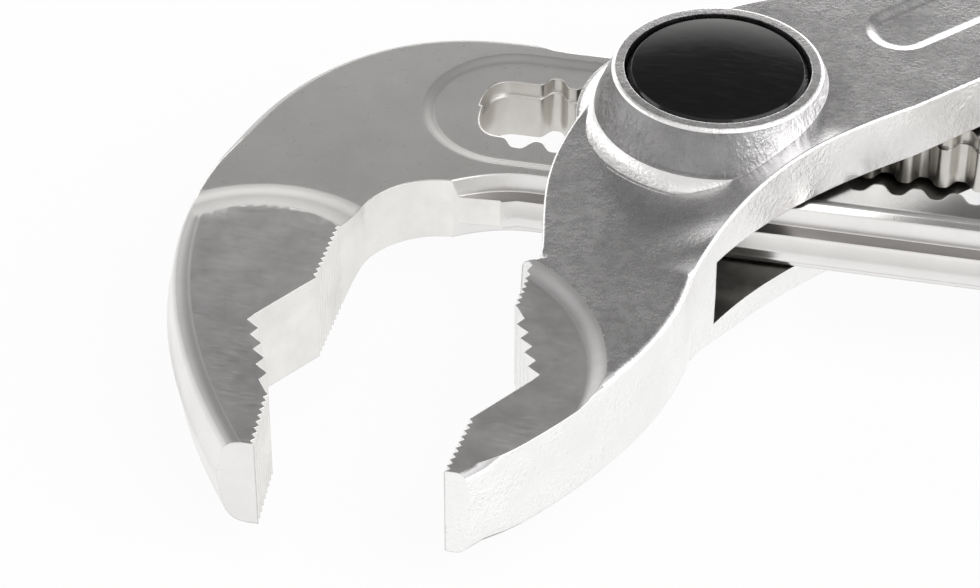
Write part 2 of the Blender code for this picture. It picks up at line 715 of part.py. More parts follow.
def neck_station(share):
    """Sections from the jaw (0) round the boss to the handle (1). The top climbs at the back edge first."""
    handle = box_handle(BOX_HANDLE_START)
    front_pulls = [BOX_CORNER + pull for pull in NECK_FRONT_PULLS]
    back_pulls = [BOX_CORNER + pull for pull in NECK_BACK_PULLS]
    left = bend_through([Vector((NECK_FRONT_X, BOX_BACK.y)), *front_pulls, handle.left], share)
    right = bend_through([BOX_BACK, *back_pulls, handle.right], share)
    front = JAW_HALF + NECK_RISE
    low = mix(-JAW_BACK - NECK_RISE / 3, FAR_BACK, ease(share / 0.35))
    high_left = mix(front, HANDLE_TOP, ease((share - 0.55) / 0.45))
    high_mid = mix(front, HANDLE_TOP, ease((share - 0.45) / 0.5))
    high_right = mix(front, HANDLE_TOP, math.sin(math.pi / 2 * min(1.0, share / 0.75)))
    return Station(left, right, low, high_left, high_mid, high_right, NECK_EDGE)


def window_outline():
    """The gap between the cheeks: closed by the neck and by a sloping wall at the handle."""
    wall = TONGUE_HALF_WIDTH + HANDLE_WALL_GAP
    rise = math.tan(HANDLE_WALL_SLOPE) * FAR_OUT * 2
    return [
        (-FAR_OUT, NECK_WALL_Y),
        (FAR_OUT * 2, NECK_WALL_Y),
        (FAR_OUT * 2, wall + rise),
        (0.0, wall),
        (-FAR_OUT, wall),
    ]


def box_face_outline():
    """What is milled off the front of the box jaw."""
    points = box_face()
    tip, root = points[-1], points[0]
    left = root.x - FAR_OUT / 2
    return [(left, root.y)] + points + [(tip.x, tip.y - DEEP), (left, tip.y - DEEP)]


def box_panel():
    """The long shallow panel on the handle's top."""
    start = straight_axis(BOX_PANEL_START + BOX_PANEL_HALF)[0]
    end = straight_axis(BOX_PANEL_END - BOX_PANEL_HALF)[0]
    profile = soft_edge(BOX_PANEL_HALF, PANEL_SLOPE, HANDLE_TOP, PANEL_DEPTH)
    return stadium("handle_panel", start, end, profile)


def make_box_lever(steel):
    jaw = [box_jaw_station(i / JAW_STEPS) for i in range(JAW_STEPS + 1)]
    neck = [neck_station(i / NECK_STEPS) for i in range(1, NECK_STEPS)]
    band = [box_handle(BOX_HANDLE_START), box_handle(BOX_TAPER_START)]
    taper = []
    for i in range(1, TAPER_STEPS + 1):
        taper.append(box_handle(mix(BOX_TAPER_START, BOX_TANG_START, i / TAPER_STEPS)))
    end = [box_handle(BOX_HANDLE_LENGTH)]
    lever = add("box_lever", loft("box_lever", jaw + neck + band + taper + end), steel)
    boolean(lever, "UNION", [turned("boss", boss_profile())])
    window = prism("window", window_outline(), -CHEEK_INNER, CHEEK_INNER)
    face = prism("face", box_face_outline(), -DEEP, DEEP)
    flats = [jaw_flat("flat_top", 1, JAW_HALF, NECK_RISE), jaw_flat("flat_back", -1, JAW_BACK, NECK_RISE / 3)]
    boolean(lever, "DIFFERENCE", [window, face] + flats + [box_panel(), make_bore()])


def jaw_flat(name, side, jaw, rise):
    """What is milled off one side of the box jaw: a round flat with a hollow edge that climbs to the neck."""
    profile = []
    for i in range(SOFT_STEPS + 1):
        share = i * (1 + SOFT_START) / SOFT_STEPS
        profile.append((BOX_FLAT_RADIUS + BOX_FLAT_SLOPE * share, side * (jaw + rise * share * share)))
    profile.append((profile[-1][0], side * DEEP))
    return stadium(name, BOX_FLAT_CENTRE, BOX_FLAT_CENTRE, profile)


def boss_profile():
    """The boss: a rounded top edge, a tapered wall, and a hollow fillet where it stands on the neck."""
    foot = JAW_HALF + NECK_RISE
    wall_foot = BOSS_RADIUS + BOSS_TAPER
    profile = [(0.0, BOSS_TOP)]
    for i in range(SOFT_STEPS):
        turn = math.pi / 2 * i / (SOFT_STEPS - 1)
        out = BOSS_RADIUS - BOSS_EDGE * (1 - math.sin(turn))
        profile.append((out, BOSS_TOP - BOSS_EDGE * (1 - math.cos(turn))))
    for i in range(SOFT_STEPS):
        turn = math.pi / 2 * i / (SOFT_STEPS - 1)
        out = wall_foot + BOSS_FILLET * (1 - math.cos(turn))
        profile.append((out, foot + BOSS_FILLET * (1 - math.sin(turn))))
    profile += [(wall_foot + BOSS_FILLET, 0.0), (wall_foot, FAR_BACK)]
    return profile + [(BOSS_RADIUS, FAR_BOSS_FACE), (0.0, FAR_BOSS_FACE)]


def make_bore():
    """The bore through both cheeks: button well, stem hole, journal bore and cover seat."""
    well = BUTTON_RADIUS + RUN_GAP
    stem = STEM_RADIUS + RUN_GAP
    journal = JOURNAL_RADIUS + RUN_GAP
    seat = COVER_RADIUS + RUN_GAP
    ledge = COVER_TOP + RUN_GAP
    profile = [(0.0, BOSS_TOP + DEEP), (well, BOSS_TOP + DEEP), (well, BUTTON_FLOOR), (stem, BUTTON_FLOOR)]
    profile += [(stem, 0.0), (journal, 0.0), (journal, ledge), (seat, ledge)]
    profile += [(seat, ledge - DEEP), (0.0, ledge - DEEP)]
    return turned("bore", profile)


def key_tooth(edge, pick, gap, start):
    """One tooth of the bolt's key: it fits one wave of the slot's edge and is rooted in the bolt's wall."""
    steps = 2 * WAVE_STEPS
    wall = (HOLLOW_RADIUS + BOLT_RADIUS) / 2
    outer = []
    for i in range(steps + 1):
        x = start + NOTCH_PITCH * i / steps
        point = Vector((x, inside(edge, x, pick) + gap))
        outer.append(point * min(1.0, JOURNAL_RADIUS / point.length))
    return outer + [point.normalized() * wall for point in reversed(outer)]


def inside(edge, x, pick):
    """The innermost height of an edge within a sliding gap to either side."""
    return pick(edge(x - SLIDE_GAP), edge(x), edge(x + SLIDE_GAP))


def make_lock_bolt(steel):
    """Stem, shoulder, journal and the spring's blind bore in one, with two key teeth half a pitch apart."""
    stem_top = BUTTON_UNDERSIDE + SOCKET_DEPTH - RUN_GAP
    hollow_top = COLLAR_TOP + BUTTON_TRAVEL - RUN_GAP
    profile = [(0.0, stem_top), (STEM_RADIUS, stem_top), (STEM_RADIUS, SHOULDER), (BOLT_RADIUS, SHOULDER)]
    profile += [(BOLT_RADIUS, JOURNAL_TOP), (JOURNAL_RADIUS, JOURNAL_TOP), (JOURNAL_RADIUS, JOURNAL_BOTTOM)]
    profile += [(HOLLOW_RADIUS, JOURNAL_BOTTOM), (HOLLOW_RADIUS, hollow_top), (0.0, hollow_top)]
    bolt = add("lock_bolt", turned("lock_bolt", profile), steel)
    root = mix(JOURNAL_TOP, JOURNAL_BOTTOM, 0.25)
    near_tooth = key_tooth(near_edge, max, SLIDE_GAP, -NOTCH_PITCH / 2)
    far_tooth = key_tooth(far_edge, min, -SLIDE_GAP, 0.0)
    outlines = (("near_tooth", near_tooth), ("far_tooth", far_tooth))
    boolean(bolt, "UNION", [prism(name, outline, root, COLLAR_TOP) for name, outline in outlines])
    return hollow_top


def make_push_button(plastic):
    """A crowned disc with a socket for the bolt's stem."""
    crown_steps = 2 * SOFT_STEPS
    rim = BUTTON_RADIUS - BUTTON_EDGE_ROUND
    profile = []
    for i in range(crown_steps + 1):
        share = i / crown_steps
        profile.append((rim * share, BUTTON_EDGE + BUTTON_CROWN * (1 - share**BUTTON_CROWN_POWER)))
    profile += [(BUTTON_RADIUS, BUTTON_EDGE - BUTTON_EDGE_ROUND), (BUTTON_RADIUS, BUTTON_UNDERSIDE)]
    socket = STEM_RADIUS + RUN_GAP
    profile += [(socket, BUTTON_UNDERSIDE), (socket, BUTTON_UNDERSIDE + SOCKET_DEPTH)]
    profile.append((0.0, BUTTON_UNDERSIDE + SOCKET_DEPTH))
    add("push_button", turned("push_button", profile), plastic)


def make_back_cover(steel):
    rim = COVER_RADIUS - COVER_CHAMFER
    profile = [(0.0, COVER_TOP), (COVER_RADIUS, COVER_TOP), (COVER_RADIUS, COVER_FACE + COVER_CHAMFER)]
    profile += [(rim, COVER_FACE), (0.0, COVER_FACE)]
    add("back_cover", turned("back_cover", profile), steel)


def make_thrust_washer(steel):
    low = COVER_TOP + RUN_GAP
    high = low + WASHER_THICK
    profile = [(WASHER_HOLE, high), (WASHER_RADIUS, high), (WASHER_RADIUS, low), (WASHER_HOLE, low)]
    profile.append(profile[0])
    add("thrust_washer", turned("thrust_washer", profile), steel)
    return high


def make_return_spring(steel, floor, ceiling):
    """A coil between the washer and the end of the bolt's bore."""
    radius = WASHER_RADIUS - SPRING_WIRE / 2
    low = floor + RUN_GAP + SPRING_WIRE / 2
    high = ceiling - RUN_GAP - SPRING_WIRE / 2
    per_turn = 10
    points = []
    for i in range(SPRING_TURNS * per_turn + 1):
        turn = 2 * math.pi * i / per_turn
        share = i / (SPRING_TURNS * per_turn)
        points.append(Vector((radius * math.cos(turn), radius * math.sin(turn), mix(low, high, share))))
    curve = bpy.data.curves.new("return_spring", "CURVE")
    curve.dimensions = "3D"
    curve.bevel_depth = SPRING_WIRE / 2
    curve.bevel_resolution = 1
    curve.use_fill_caps = True
    spline = curve.splines.new("POLY")
    spline.points.add(len(points) - 1)
    for target, point in zip(spline.points, points):
        target.co = (*point, 1.0)
    add("return_spring", curve_mesh(curve, "return_spring"), steel)
    gap = min((a - b).length for i, a in enumerate(points) for b in points[i + per_turn // 2 :]) - SPRING_WIRE
    print(f"return_spring: least gap between turns {gap / MM:.2f} mm")


def grip(name, core, start, end, vinyl):
    """A dipped sleeve: a guard at the front, a gentle swell, a closed round end and a bore for the tang."""
    length = end - start
    shares = (0.0, 0.03, 0.08, 0.16, 0.3, 0.45, 0.6, 0.75, 0.88, 0.95, 0.985, 1.0)
    stations = []
    for share in shares:
        guard = GRIP_GUARD * max(0.0, 1 - abs(share - 0.03) / 0.08)
        swell = GRIP_SWELL * math.sin(math.pi * min(1.0, share * 1.1)) ** 2
        round_end = GRIP_WALL * ease((share - 0.93) / 0.07)
        stations.append(core(start + length * share, GRIP_WALL + guard + swell - round_end * 0.7))
    sleeve = add(name, loft(name, stations), vinyl)
    bore_end = end - GRIP_WALL
    bore = [core(start - GRIP_WALL, RUN_GAP), core(bore_end, RUN_GAP)]
    boolean(sleeve, "DIFFERENCE", [loft("bore", bore)])


def make_grips(vinyl):
    slotted_end = SLOTTED_BEND_RADIUS * SLOTTED_BEND + SLOTTED_HANDLE + RUN_GAP + GRIP_WALL
    grip("slotted_lever_grip", slotted_handle, slotted_end - GRIP_LENGTH, slotted_end, vinyl)
    box_end = BOX_HANDLE_LENGTH + RUN_GAP + GRIP_WALL
    grip("box_lever_grip", box_handle, box_end - GRIP_LENGTH, box_end, vinyl)


def main():
    forged = material("forged_steel", (0.62, 0.61, 0.60), 0.34, 1.0)
    bright = material("bright_steel", (0.55, 0.55, 0.56), 0.25, 1.0)
    black = material("black_plastic", (0.02, 0.02, 0.022), 0.22, 0.0)
    vinyl = material("grip_vinyl", (0.03, 0.09, 0.28), 0.45, 0.0)
    make_slotted_lever(forged)
    make_box_lever(forged)
    hollow_top = make_lock_bolt(bright)
    make_push_button(black)
    make_back_cover(bright)
    washer_top = make_thrust_washer(bright)
    make_return_spring(bright, washer_top, hollow_top)
    make_grips(vinyl)
    for piece in PARTS.objects:
        if piece.type == "MESH":
            shade(piece.data)


main()
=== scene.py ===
"""Looks of the water pump pliers: finer forms of the visible pieces, materials, studio and camera."""

from collections import namedtuple
from math import atan2, copysign, cos, hypot, pi, radians, sin, tan

import bmesh
import bpy
from mathutils import Matrix, Vector


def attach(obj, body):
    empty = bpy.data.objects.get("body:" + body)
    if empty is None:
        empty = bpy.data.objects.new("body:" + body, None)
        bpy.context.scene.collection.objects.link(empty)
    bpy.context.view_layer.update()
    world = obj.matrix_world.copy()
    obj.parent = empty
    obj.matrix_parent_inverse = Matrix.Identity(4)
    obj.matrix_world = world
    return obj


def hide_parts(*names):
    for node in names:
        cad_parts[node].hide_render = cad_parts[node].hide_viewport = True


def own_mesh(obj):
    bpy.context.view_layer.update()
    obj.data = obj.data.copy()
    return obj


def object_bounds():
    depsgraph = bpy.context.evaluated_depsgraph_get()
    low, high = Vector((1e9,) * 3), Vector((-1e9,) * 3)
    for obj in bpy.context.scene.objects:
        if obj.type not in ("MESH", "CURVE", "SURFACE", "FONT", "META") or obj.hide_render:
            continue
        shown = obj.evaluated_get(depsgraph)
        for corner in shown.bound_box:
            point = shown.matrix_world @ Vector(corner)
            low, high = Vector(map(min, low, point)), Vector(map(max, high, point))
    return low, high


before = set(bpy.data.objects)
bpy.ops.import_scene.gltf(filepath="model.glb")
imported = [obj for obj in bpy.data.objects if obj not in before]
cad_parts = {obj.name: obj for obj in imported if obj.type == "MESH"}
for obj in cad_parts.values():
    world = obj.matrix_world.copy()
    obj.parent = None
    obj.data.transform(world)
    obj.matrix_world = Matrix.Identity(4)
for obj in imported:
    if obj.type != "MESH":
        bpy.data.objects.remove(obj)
cad_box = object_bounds()

# Unit and gaps
MM = 0.001
RUN_GAP = 0.3 * MM
SLIDE_GAP = 0.25 * MM
JAW_GAP = 0.15 * MM

# Heights, from the middle plane of the arm
ARM_HALF = 3.6 * MM
TONGUE_HALF = 1.65 * MM
PANEL_DEPTH = 0.37 * MM
JAW_HALF = 4.6 * MM
JAW_BACK = 5.3 * MM
NEAR_CHEEK = 6.3 * MM
FAR_CHEEK = 3.1 * MM
BOSS_RISE = 1.4 * MM
COVER_THICK = 1.1 * MM
COVER_PROUD = 0.2 * MM

# The arm's edges, panel and slot
RIM_HALF_WIDTH = 11.1 * MM
TONGUE_HALF_WIDTH = 12.7 * MM
PANEL_HALF_WIDTH = 9.7 * MM
PANEL_SLOPE = 1.5 * MM
NOTCH_PITCH = 3.85 * MM
NOTCHES_TO_JAW = 5
NOTCHES_TO_HANDLE = 8
SLOT_NEAR = 5.55 * MM
SLOT_FAR = 4.95 * MM
SLOT_WAVE = 0.7 * MM
SLOT_END = 2.9 * MM
SLOT_END_FULLNESS = 2.6
SLOT_TIER = 1.6 * MM
SLOT_TIER_DEPTH = 0.35 * MM
PANEL_END = 6.2 * MM
FORGED_EDGE = 2.8 * MM
MILLED_OFF = 0.12 * MM
RABBET_RAMP = 3.4 * MM
RABBET_LEAN = 0.4 * MM
RABBET_SWEEP = 8.6 * MM
RABBET_SWEEP_X = -16.5 * MM
RABBET_SWEEP_RADIUS = 12.5 * MM

# The hook and its throat
HOOK_PLACE = Vector((11.2, -10.8)) * MM
HOOK_REACH = 27.0 * MM
HOOK_FULLNESS = 2.3
HOOK_TIP_TAPER = 12.4 * MM
HOOK_TIP_POWER = 1.9
HOOK_THINS = 0.3
THROAT_PLACE = Vector((9.2, -9.1)) * MM
THROAT_RADIUS = 8.6 * MM
THROAT_EXIT = 13.7 * MM
THROAT_ARC = range(160, 85, -2)
PAD_PLACE = Vector((-6.4, -20.0)) * MM
PAD_RADIUS = 10.8 * MM
PAD_SLOPE = 5.2 * MM

# The jaws' faces
BOX_FACE_X = -13.8 * MM
FACE_DROP = 11.0 * MM
FACE_LEAN = 0.04
FACE_LENGTH = 32.6 * MM
FINE_PITCH = 0.86 * MM
FINE_DEPTH = 0.42 * MM
COARSE_PITCH = 2.2 * MM
COARSE_DEPTH = 0.95 * MM
POCKET_DEPTH = 4.1 * MM
SLOTTED_TOE = 1.2 * MM
BOX_TOE = 0.6 * MM
SLOTTED_FACE = (0.0, 8.2 * MM, 14.6 * MM, 24.8 * MM)
BOX_FACE = (2.6 * MM, 9.2 * MM, 18.8 * MM, 25.2 * MM)

# The box lever's jaw, neck and boss
BOX_BACK_PLACE = Vector((15.7, -12.8)) * MM
BOX_BACK_TAPER = 15.5 * MM
BOX_BACK_POWER = 1.8
BOX_FLAT_PLACE = Vector((-9.4, -30.4)) * MM
BOX_FLAT_RADIUS = 17.8 * MM
BOX_FLAT_SLOPE = 2.0 * MM
BOX_EDGE = 0.9 * MM
TIP_EDGE = 2.0 * MM
TIP_RISE = 0.06 * MM
TIP_SHARE = 0.17
NECK_RISE = 0.95 * MM
NECK_FRONT = 0.8 * MM
NECK_FRONT_PULLS = [Vector(pull) * MM for pull in ((0.4, -6.4), (-2.6, -0.4), (-4.5, 19.1))]
NECK_BACK_PULLS = [Vector((19.45, 0.3)) * MM]
NECK_EDGE = 0.3 * MM
BOSS_RADIUS = 10.7 * MM
BOSS_TAPER = 1.5 * MM
BOSS_FILLET = 1.9 * MM
BOSS_EDGE = 0.5 * MM
FOOT_STEP = 0.05 * MM
NECK_WALL_GAP = 8.3 * MM
HANDLE_WALL_GAP = 1.7 * MM
HANDLE_WALL_SLOPE = radians(15)

# Shares of the neck's length: where a climb ends, or its start and length
NECK_DROP = 0.35
NECK_BACK_CLIMB = 0.75
NECK_FRONT_CLIMB = (0.55, 0.45)
NECK_MIDDLE_CLIMB = (0.45, 0.5)

# The button, bolt and spring
BUTTON_TRAVEL = 2.8 * MM
BUTTON_RADIUS = 9.1 * MM
BUTTON_CROWN = 0.6 * MM
BUTTON_CROWN_POWER = 2.2
BUTTON_EDGE_ROUND = 0.45 * MM
BUTTON_SUNK = 0.15 * MM
BORE_FLOOR = 2.1 * MM
STEM_RADIUS = 3.5 * MM
SOCKET_DEPTH = 1.0 * MM
JOURNAL_RADIUS = 6.2 * MM
JOURNAL_DEPTH = 1.7 * MM
COVER_RADIUS = 7.4 * MM
WASHER_RADIUS = 2.4 * MM
WASHER_THICK = 0.5 * MM
SPRING_WIRE = 0.65 * MM
SPRING_TURNS = 7

# The handles and sleeves
SLOTTED_RUN = 26.5 * MM
SLOTTED_BEND_RADIUS = 55.0 * MM
SLOTTED_BEND = radians(24)
SLOTTED_HANDLE = 116.0 * MM
BOX_HANDLE_ANGLE = radians(44)
BOX_HANDLE_LENGTH = 190.0 * MM
BOX_HANDLE_HALF = 11.25 * MM
BOX_HANDLE_SHIFT = 3.05 * MM
BOX_HANDLE_START = 14.0 * MM
BOX_TAPER_START = 42.0 * MM
BOX_TANG_START = 85.0 * MM
BOX_PANEL_START = 17.0 * MM
BOX_PANEL_END = 46.0 * MM
BOX_PANEL_HALF = 3.8 * MM
TANG_HALF_WIDTH = 6.2 * MM
TANG_HALF = 4.0 * MM
HANDLE_ROUND = 0.6
GRIP_WALL = 3.4 * MM
GRIP_GUARD = 1.6 * MM
GRIP_SWELL = 1.4 * MM
GRIP_LENGTH = 105.0 * MM

# Shares of a sleeve's length, and of its wall at the rounded end
GUARD_PLACE = 0.03
GUARD_SPREAD = 0.08
SWELL_RATE = 1.1
ROUND_START = 0.93
ROUND_LENGTH = 0.07
ROUND_DEPTH = 0.7

# Sizes and places that follow
CHEEK_INNER = ARM_HALF + RUN_GAP
HANDLE_TOP = CHEEK_INNER + NEAR_CHEEK
BOSS_TOP = HANDLE_TOP + BOSS_RISE
FAR_BACK = -(CHEEK_INNER + FAR_CHEEK)
PANEL_FACE = ARM_HALF - PANEL_DEPTH
COLLAR_TOP = BUTTON_TRAVEL - PANEL_FACE - SLIDE_GAP
JOURNAL_BOTTOM = -(CHEEK_INNER + JOURNAL_DEPTH)
COVER_TOP = JOURNAL_BOTTOM - BUTTON_TRAVEL - RUN_GAP
COVER_FACE = COVER_TOP - COVER_THICK
FAR_BOSS_FACE = COVER_FACE + COVER_PROUD
BUTTON_FLOOR = CHEEK_INNER + BORE_FLOOR
BUTTON_UNDERSIDE = BUTTON_FLOOR + BUTTON_TRAVEL + RUN_GAP
BUTTON_EDGE = BOSS_TOP - BUTTON_SUNK
LAST_WAVE_X = -(NOTCHES_TO_JAW + 0.5) * NOTCH_PITCH
FIRST_LAND_X = (NOTCHES_TO_HANDLE + 1) * NOTCH_PITCH
SLOT_START_X = LAST_WAVE_X - SLOT_END
SLOT_STOP_X = FIRST_LAND_X + SLOT_END
SLOTTED_BEND_X = SLOT_STOP_X + SLOTTED_RUN
ARM_CENTRE_Y = (SLOT_FAR - SLOT_NEAR) / 2
ARM_NEAR_Y = ARM_CENTRE_Y - TONGUE_HALF_WIDTH
FACE_SHIFT = NOTCHES_TO_JAW * NOTCH_PITCH + JAW_GAP
MIDDLE_PLANE = -COVER_FACE
BOX_CORNER = Vector((BOX_FACE_X, ARM_NEAR_Y))
HOOK_CORNER = Vector((BOX_FACE_X - FACE_SHIFT, ARM_NEAR_Y))
HOOK_CENTRE = HOOK_CORNER + HOOK_PLACE
THROAT_CENTRE = HOOK_CORNER + THROAT_PLACE
THROAT_EXIT_X = HOOK_CORNER.x + THROAT_EXIT
PAD_CENTRE = HOOK_CORNER + PAD_PLACE
FACE_ROOT = HOOK_CORNER - Vector((0.0, FACE_DROP))
BOX_BACK = BOX_CORNER + BOX_BACK_PLACE
BOX_FLAT_CENTRE = BOX_CORNER + BOX_FLAT_PLACE
NECK_FRONT_X = BOX_CORNER.x + NECK_FRONT
NECK_WALL_Y = ARM_NEAR_Y - NECK_WALL_GAP
JAW_EDGE = FORGED_EDGE * 0.75
HOOK_STOCK = FINE_DEPTH * 4
BOX_STOCK = FINE_DEPTH * 3
SLOTTED_BEND_LENGTH = SLOTTED_BEND_RADIUS * SLOTTED_BEND
SLOTTED_HANDLE_END = SLOTTED_BEND_LENGTH + SLOTTED_HANDLE

# Steps of the curves and reach of the cutters
ROUND_STEPS = 128
WAVE_STEPS = 20
TIP_STEPS = 18
HOOK_STEPS = 40
BEND_STEPS = 16
JAW_STEPS = 18
NECK_STEPS = 36
TAPER_STEPS = 12
TOP_STEPS = 12
TOP_POWER = 2.6
CORNER_TURNS = range(0, 91, 15)
EDGE_SHARE = 0.45
SOFT_STEPS = 10
SOFT_START = 0.12
FAR_OUT = 30.0 * MM
DEEP = 20.0 * MM
GRIP_STEPS = 60
TURN_STEPS = 32
WIRE_SIDES = 12
SAME_POINT = 0.001 * MM
SAME_LINE = 0.002 * MM

Station = namedtuple("Station", "left right low high_left high_mid high_right edge")


def skinned(name, rings, caps=True):
    """A mesh that joins rings of points in their order, with a cap on both ends."""
    build = bmesh.new()
    rings = [[build.verts.new(point) for point in points] for points in rings]
    for first, second in zip(rings, rings[1:]):
        for i, corner in enumerate(first):
            build.faces.new((first[i - 1], corner, second[i], second[i - 1]))
    if caps:
        build.faces.new(rings[0])
        build.faces.new(rings[-1])
    bmesh.ops.remove_doubles(build, verts=build.verts, dist=SAME_POINT)
    bmesh.ops.recalc_face_normals(build, faces=build.faces)
    mesh = bpy.data.meshes.new(name)
    build.to_mesh(mesh)
    build.free()
    return mesh


def prism(name, outline, low=-DEEP, high=DEEP):
    """A flat outline, extruded from one height to another."""
    outline = corners(outline)
    return skinned(name, [[(x, y, z) for x, y in outline] for z in (low, high)])


def turned(name, profile):
    """A profile of (radius, height) points from axis to axis, turned about the pivot."""
    turns = steps(ROUND_STEPS, 0.0, 2 * pi)[:-1]
    rings = []
    for radius, height in profile:
        rings.append([(radius * cos(t), radius * sin(t), height) for t in turns])
    return skinned(name, rings, caps=False)


def add_object(name, data):
    """A new object in the scene."""
    made = bpy.data.objects.new(name, data)
    bpy.context.scene.collection.objects.link(made)
    return made


def combine(target, others, operation="DIFFERENCE"):
    """The target mesh, cut by other meshes in their order, or joined with them."""
    carrier = add_object(target.name, target)
    helpers = [carrier]
    for mesh in others:
        helper = add_object(mesh.name, mesh)
        helpers.append(helper)
        modifier = carrier.modifiers.new(mesh.name, "BOOLEAN")
        modifier.operation = operation
        modifier.solver = "EXACT"
        modifier.object = helper
    graph = bpy.context.evaluated_depsgraph_get()
    made = bpy.data.meshes.new_from_object(carrier.evaluated_get(graph))
    made.name = target.name
    for helper in helpers:
        bpy.data.objects.remove(helper)
    return made


def corners(outline):
    """The outline without the points that lie on the line between their neighbours."""
    points = [Vector(point) for point in outline]
    kept = []
    for before, point, after in zip(points[-1:] + points, points, points[1:] + points[:1]):
        across = after - before
        if abs((point - before).cross(across)) > SAME_LINE * across.length:
            kept.append(point)
    return kept


def stadium(name, start, end, profile):
    """Stadium outlines round two centres, stacked by a profile of (radius, height) points."""
    along = end - start
    heading = atan2(along.y, along.x)
    half = ROUND_STEPS // 2
    rings = []
    for radius, height in profile:
        made = []
        for centre, first in ((end, heading - pi / 2), (start, heading + pi / 2)):
            for i in range(half + 1):
                turn = first + pi * i / half
                x, y = centre + Vector((cos(turn), sin(turn))) * radius
                made.append((x, y, height))
        rings.append(made)
    return skinned(name, rings)


def ring(station):
    """One section of a forging: rounded edges, sides that swell to the parting line, and a hollowed top."""
    left = Vector(station.left)
    across = Vector(station.right) - left
    width = across.length
    across /= width
    edge = min(station.edge, width * EDGE_SHARE, (station.high_left - station.low) / 3)
    swell = edge / 4
    corner = [radians(turn) for turn in CORNER_TURNS]
    inset = [edge * (1 - cos(turn)) for turn in corner]
    drop = [edge * (1 - sin(turn)) for turn in corner]
    climb, dip = station.high_right - station.high_mid, station.high_mid - station.high_left
    slope = min(climb, dip, key=abs) if climb * dip > 0 else 0.0
    rounded = list(zip(inset, drop))
    outline = [(u, station.high_left - d) for u, d in rounded]
    for share in (i / TOP_STEPS for i in range(1, TOP_STEPS)):
        side = 2 * share - 1
        bend = climb - slope if side > 0 else slope - dip
        height = station.high_mid + slope * side + bend * abs(side) ** TOP_POWER
        outline.append((mix(edge, width - edge, share), height))
    outline += [(width - u, station.high_right - d) for u, d in reversed(rounded)]
    outline.append((width + swell, 0.0))
    outline += [(width - u, station.low + d) for u, d in rounded]
    outline += [(u, station.low + d) for u, d in reversed(rounded)]
    outline.append((-swell, 0.0))
    return [(*(left + across * u), z) for u, z in outline]


def loft(name, stations):
    """A closed skin through the rings of the stations."""
    return skinned(name, [ring(station) for station in stations])


def ease(share):
    """A smooth step from 0 to 1."""
    share = min(max(share, 0.0), 1.0)
    return share * share * (3 - 2 * share)


def mix(low, high, share):
    return low + (high - low) * share


def steps(count, low=0.0, high=1.0):
    """Even steps from one value to another, with both ends."""
    return [mix(low, high, i / count) for i in range(count + 1)]


def wave(x):
    """The slot's wave, 1 at each notch, with broad crests and steep flanks."""
    swing = cos(2 * pi * x / NOTCH_PITCH)
    return swing * (1.5 - 0.5 * swing * swing)


def near_edge(x):
    return -(SLOT_NEAR + SLOT_WAVE * wave(x))


def far_edge(x):
    return SLOT_FAR - SLOT_WAVE * wave(x)


def slot_outline():
    """Both edges wave in step, so the slot keeps its width. Past the last notch the far edge runs level."""
    outline = [(x, near_edge(x)) for x in wave_places()]
    outline += slot_end(FIRST_LAND_X, near_edge(FIRST_LAND_X), far_edge(FIRST_LAND_X), 1)
    far_side = far_points()
    outline += far_side
    outline += reversed(slot_end(LAST_WAVE_X, near_edge(LAST_WAVE_X), far_side[-1][1], -1))
    return outline


def wave_places():
    """Where the waves are sampled, from the slot's jaw end to its handle end."""
    pitches = (FIRST_LAND_X - LAST_WAVE_X) / NOTCH_PITCH
    return steps(round(pitches * WAVE_STEPS), LAST_WAVE_X, FIRST_LAND_X)


def far_points():
    """The slot's far edge, from its handle end to its jaw end."""
    last_notch = -NOTCHES_TO_JAW * NOTCH_PITCH
    waved = last_notch - NOTCH_PITCH / WAVE_STEPS / 2
    points = [(x, far_edge(x)) for x in reversed(wave_places()) if x > waved]
    return points + [(LAST_WAVE_X, far_edge(last_notch))]


def tier_outline():
    """The upper tier of the slot's far wall and jaw end, which stands a little further back."""
    back = [(x, y + SLOT_TIER_DEPTH) for x, y in far_points()]
    end = slot_end(LAST_WAVE_X, near_edge(LAST_WAVE_X), back[-1][1], -1, SLOT_TIER_DEPTH)
    end = [point for point in reversed(end) if point[1] > 0]
    return [(FIRST_LAND_X, 0.0)] + back + end + [(end[-1][0], 0.0)]


def slot_end(x, low, high, side, extra=0.0):
    """Half a full oval from the near edge to the far edge."""
    middle, half = (low + high) / 2, (high - low) / 2
    power = 2 / SLOT_END_FULLNESS
    points = []
    for i in range(1, WAVE_STEPS):
        turn = pi * i / WAVE_STEPS
        swing = cos(turn)
        rise = copysign(abs(swing) ** power, swing)
        points.append((x + side * (SLOT_END + extra) * sin(turn) ** power, middle - half * rise))
    return points


def face_point(distance, depth=0.0):
    """A point on the slotted jaw's face line, or sunk into that jaw."""
    x = FACE_ROOT.x - FACE_LEAN * distance - depth
    return Vector((x, FACE_ROOT.y - distance))


def teeth(start, end, pitch, depth, into):
    """Saw teeth from one point to another, with crests on the line and roots sunk sideways."""
    count = max(1, round((end - start).length / pitch))
    points = []
    for i in range(count):
        points.append(start.lerp(end, i / count))
        points.append(start.lerp(end, (i + 0.5) / count) + into * depth)
    points.append(end)
    return points


def slotted_face():
    """The slotted jaw from root to tip: fine teeth, a plain slope into a pocket, coarse teeth, fine teeth."""
    root, pocket, deepest, leaves = SLOTTED_FACE
    into = Vector((-1.0, 0.0))
    points = teeth(face_point(root), face_point(pocket), FINE_PITCH, FINE_DEPTH, into)
    deep = face_point(deepest, POCKET_DEPTH)
    edge = face_point(leaves, -toe(SLOTTED_TOE, deepest, leaves))
    points += teeth(deep, edge, COARSE_PITCH, COARSE_DEPTH, into)
    points += teeth(edge, face_point(FACE_LENGTH, -SLOTTED_TOE), FINE_PITCH, FINE_DEPTH, into)
    return points


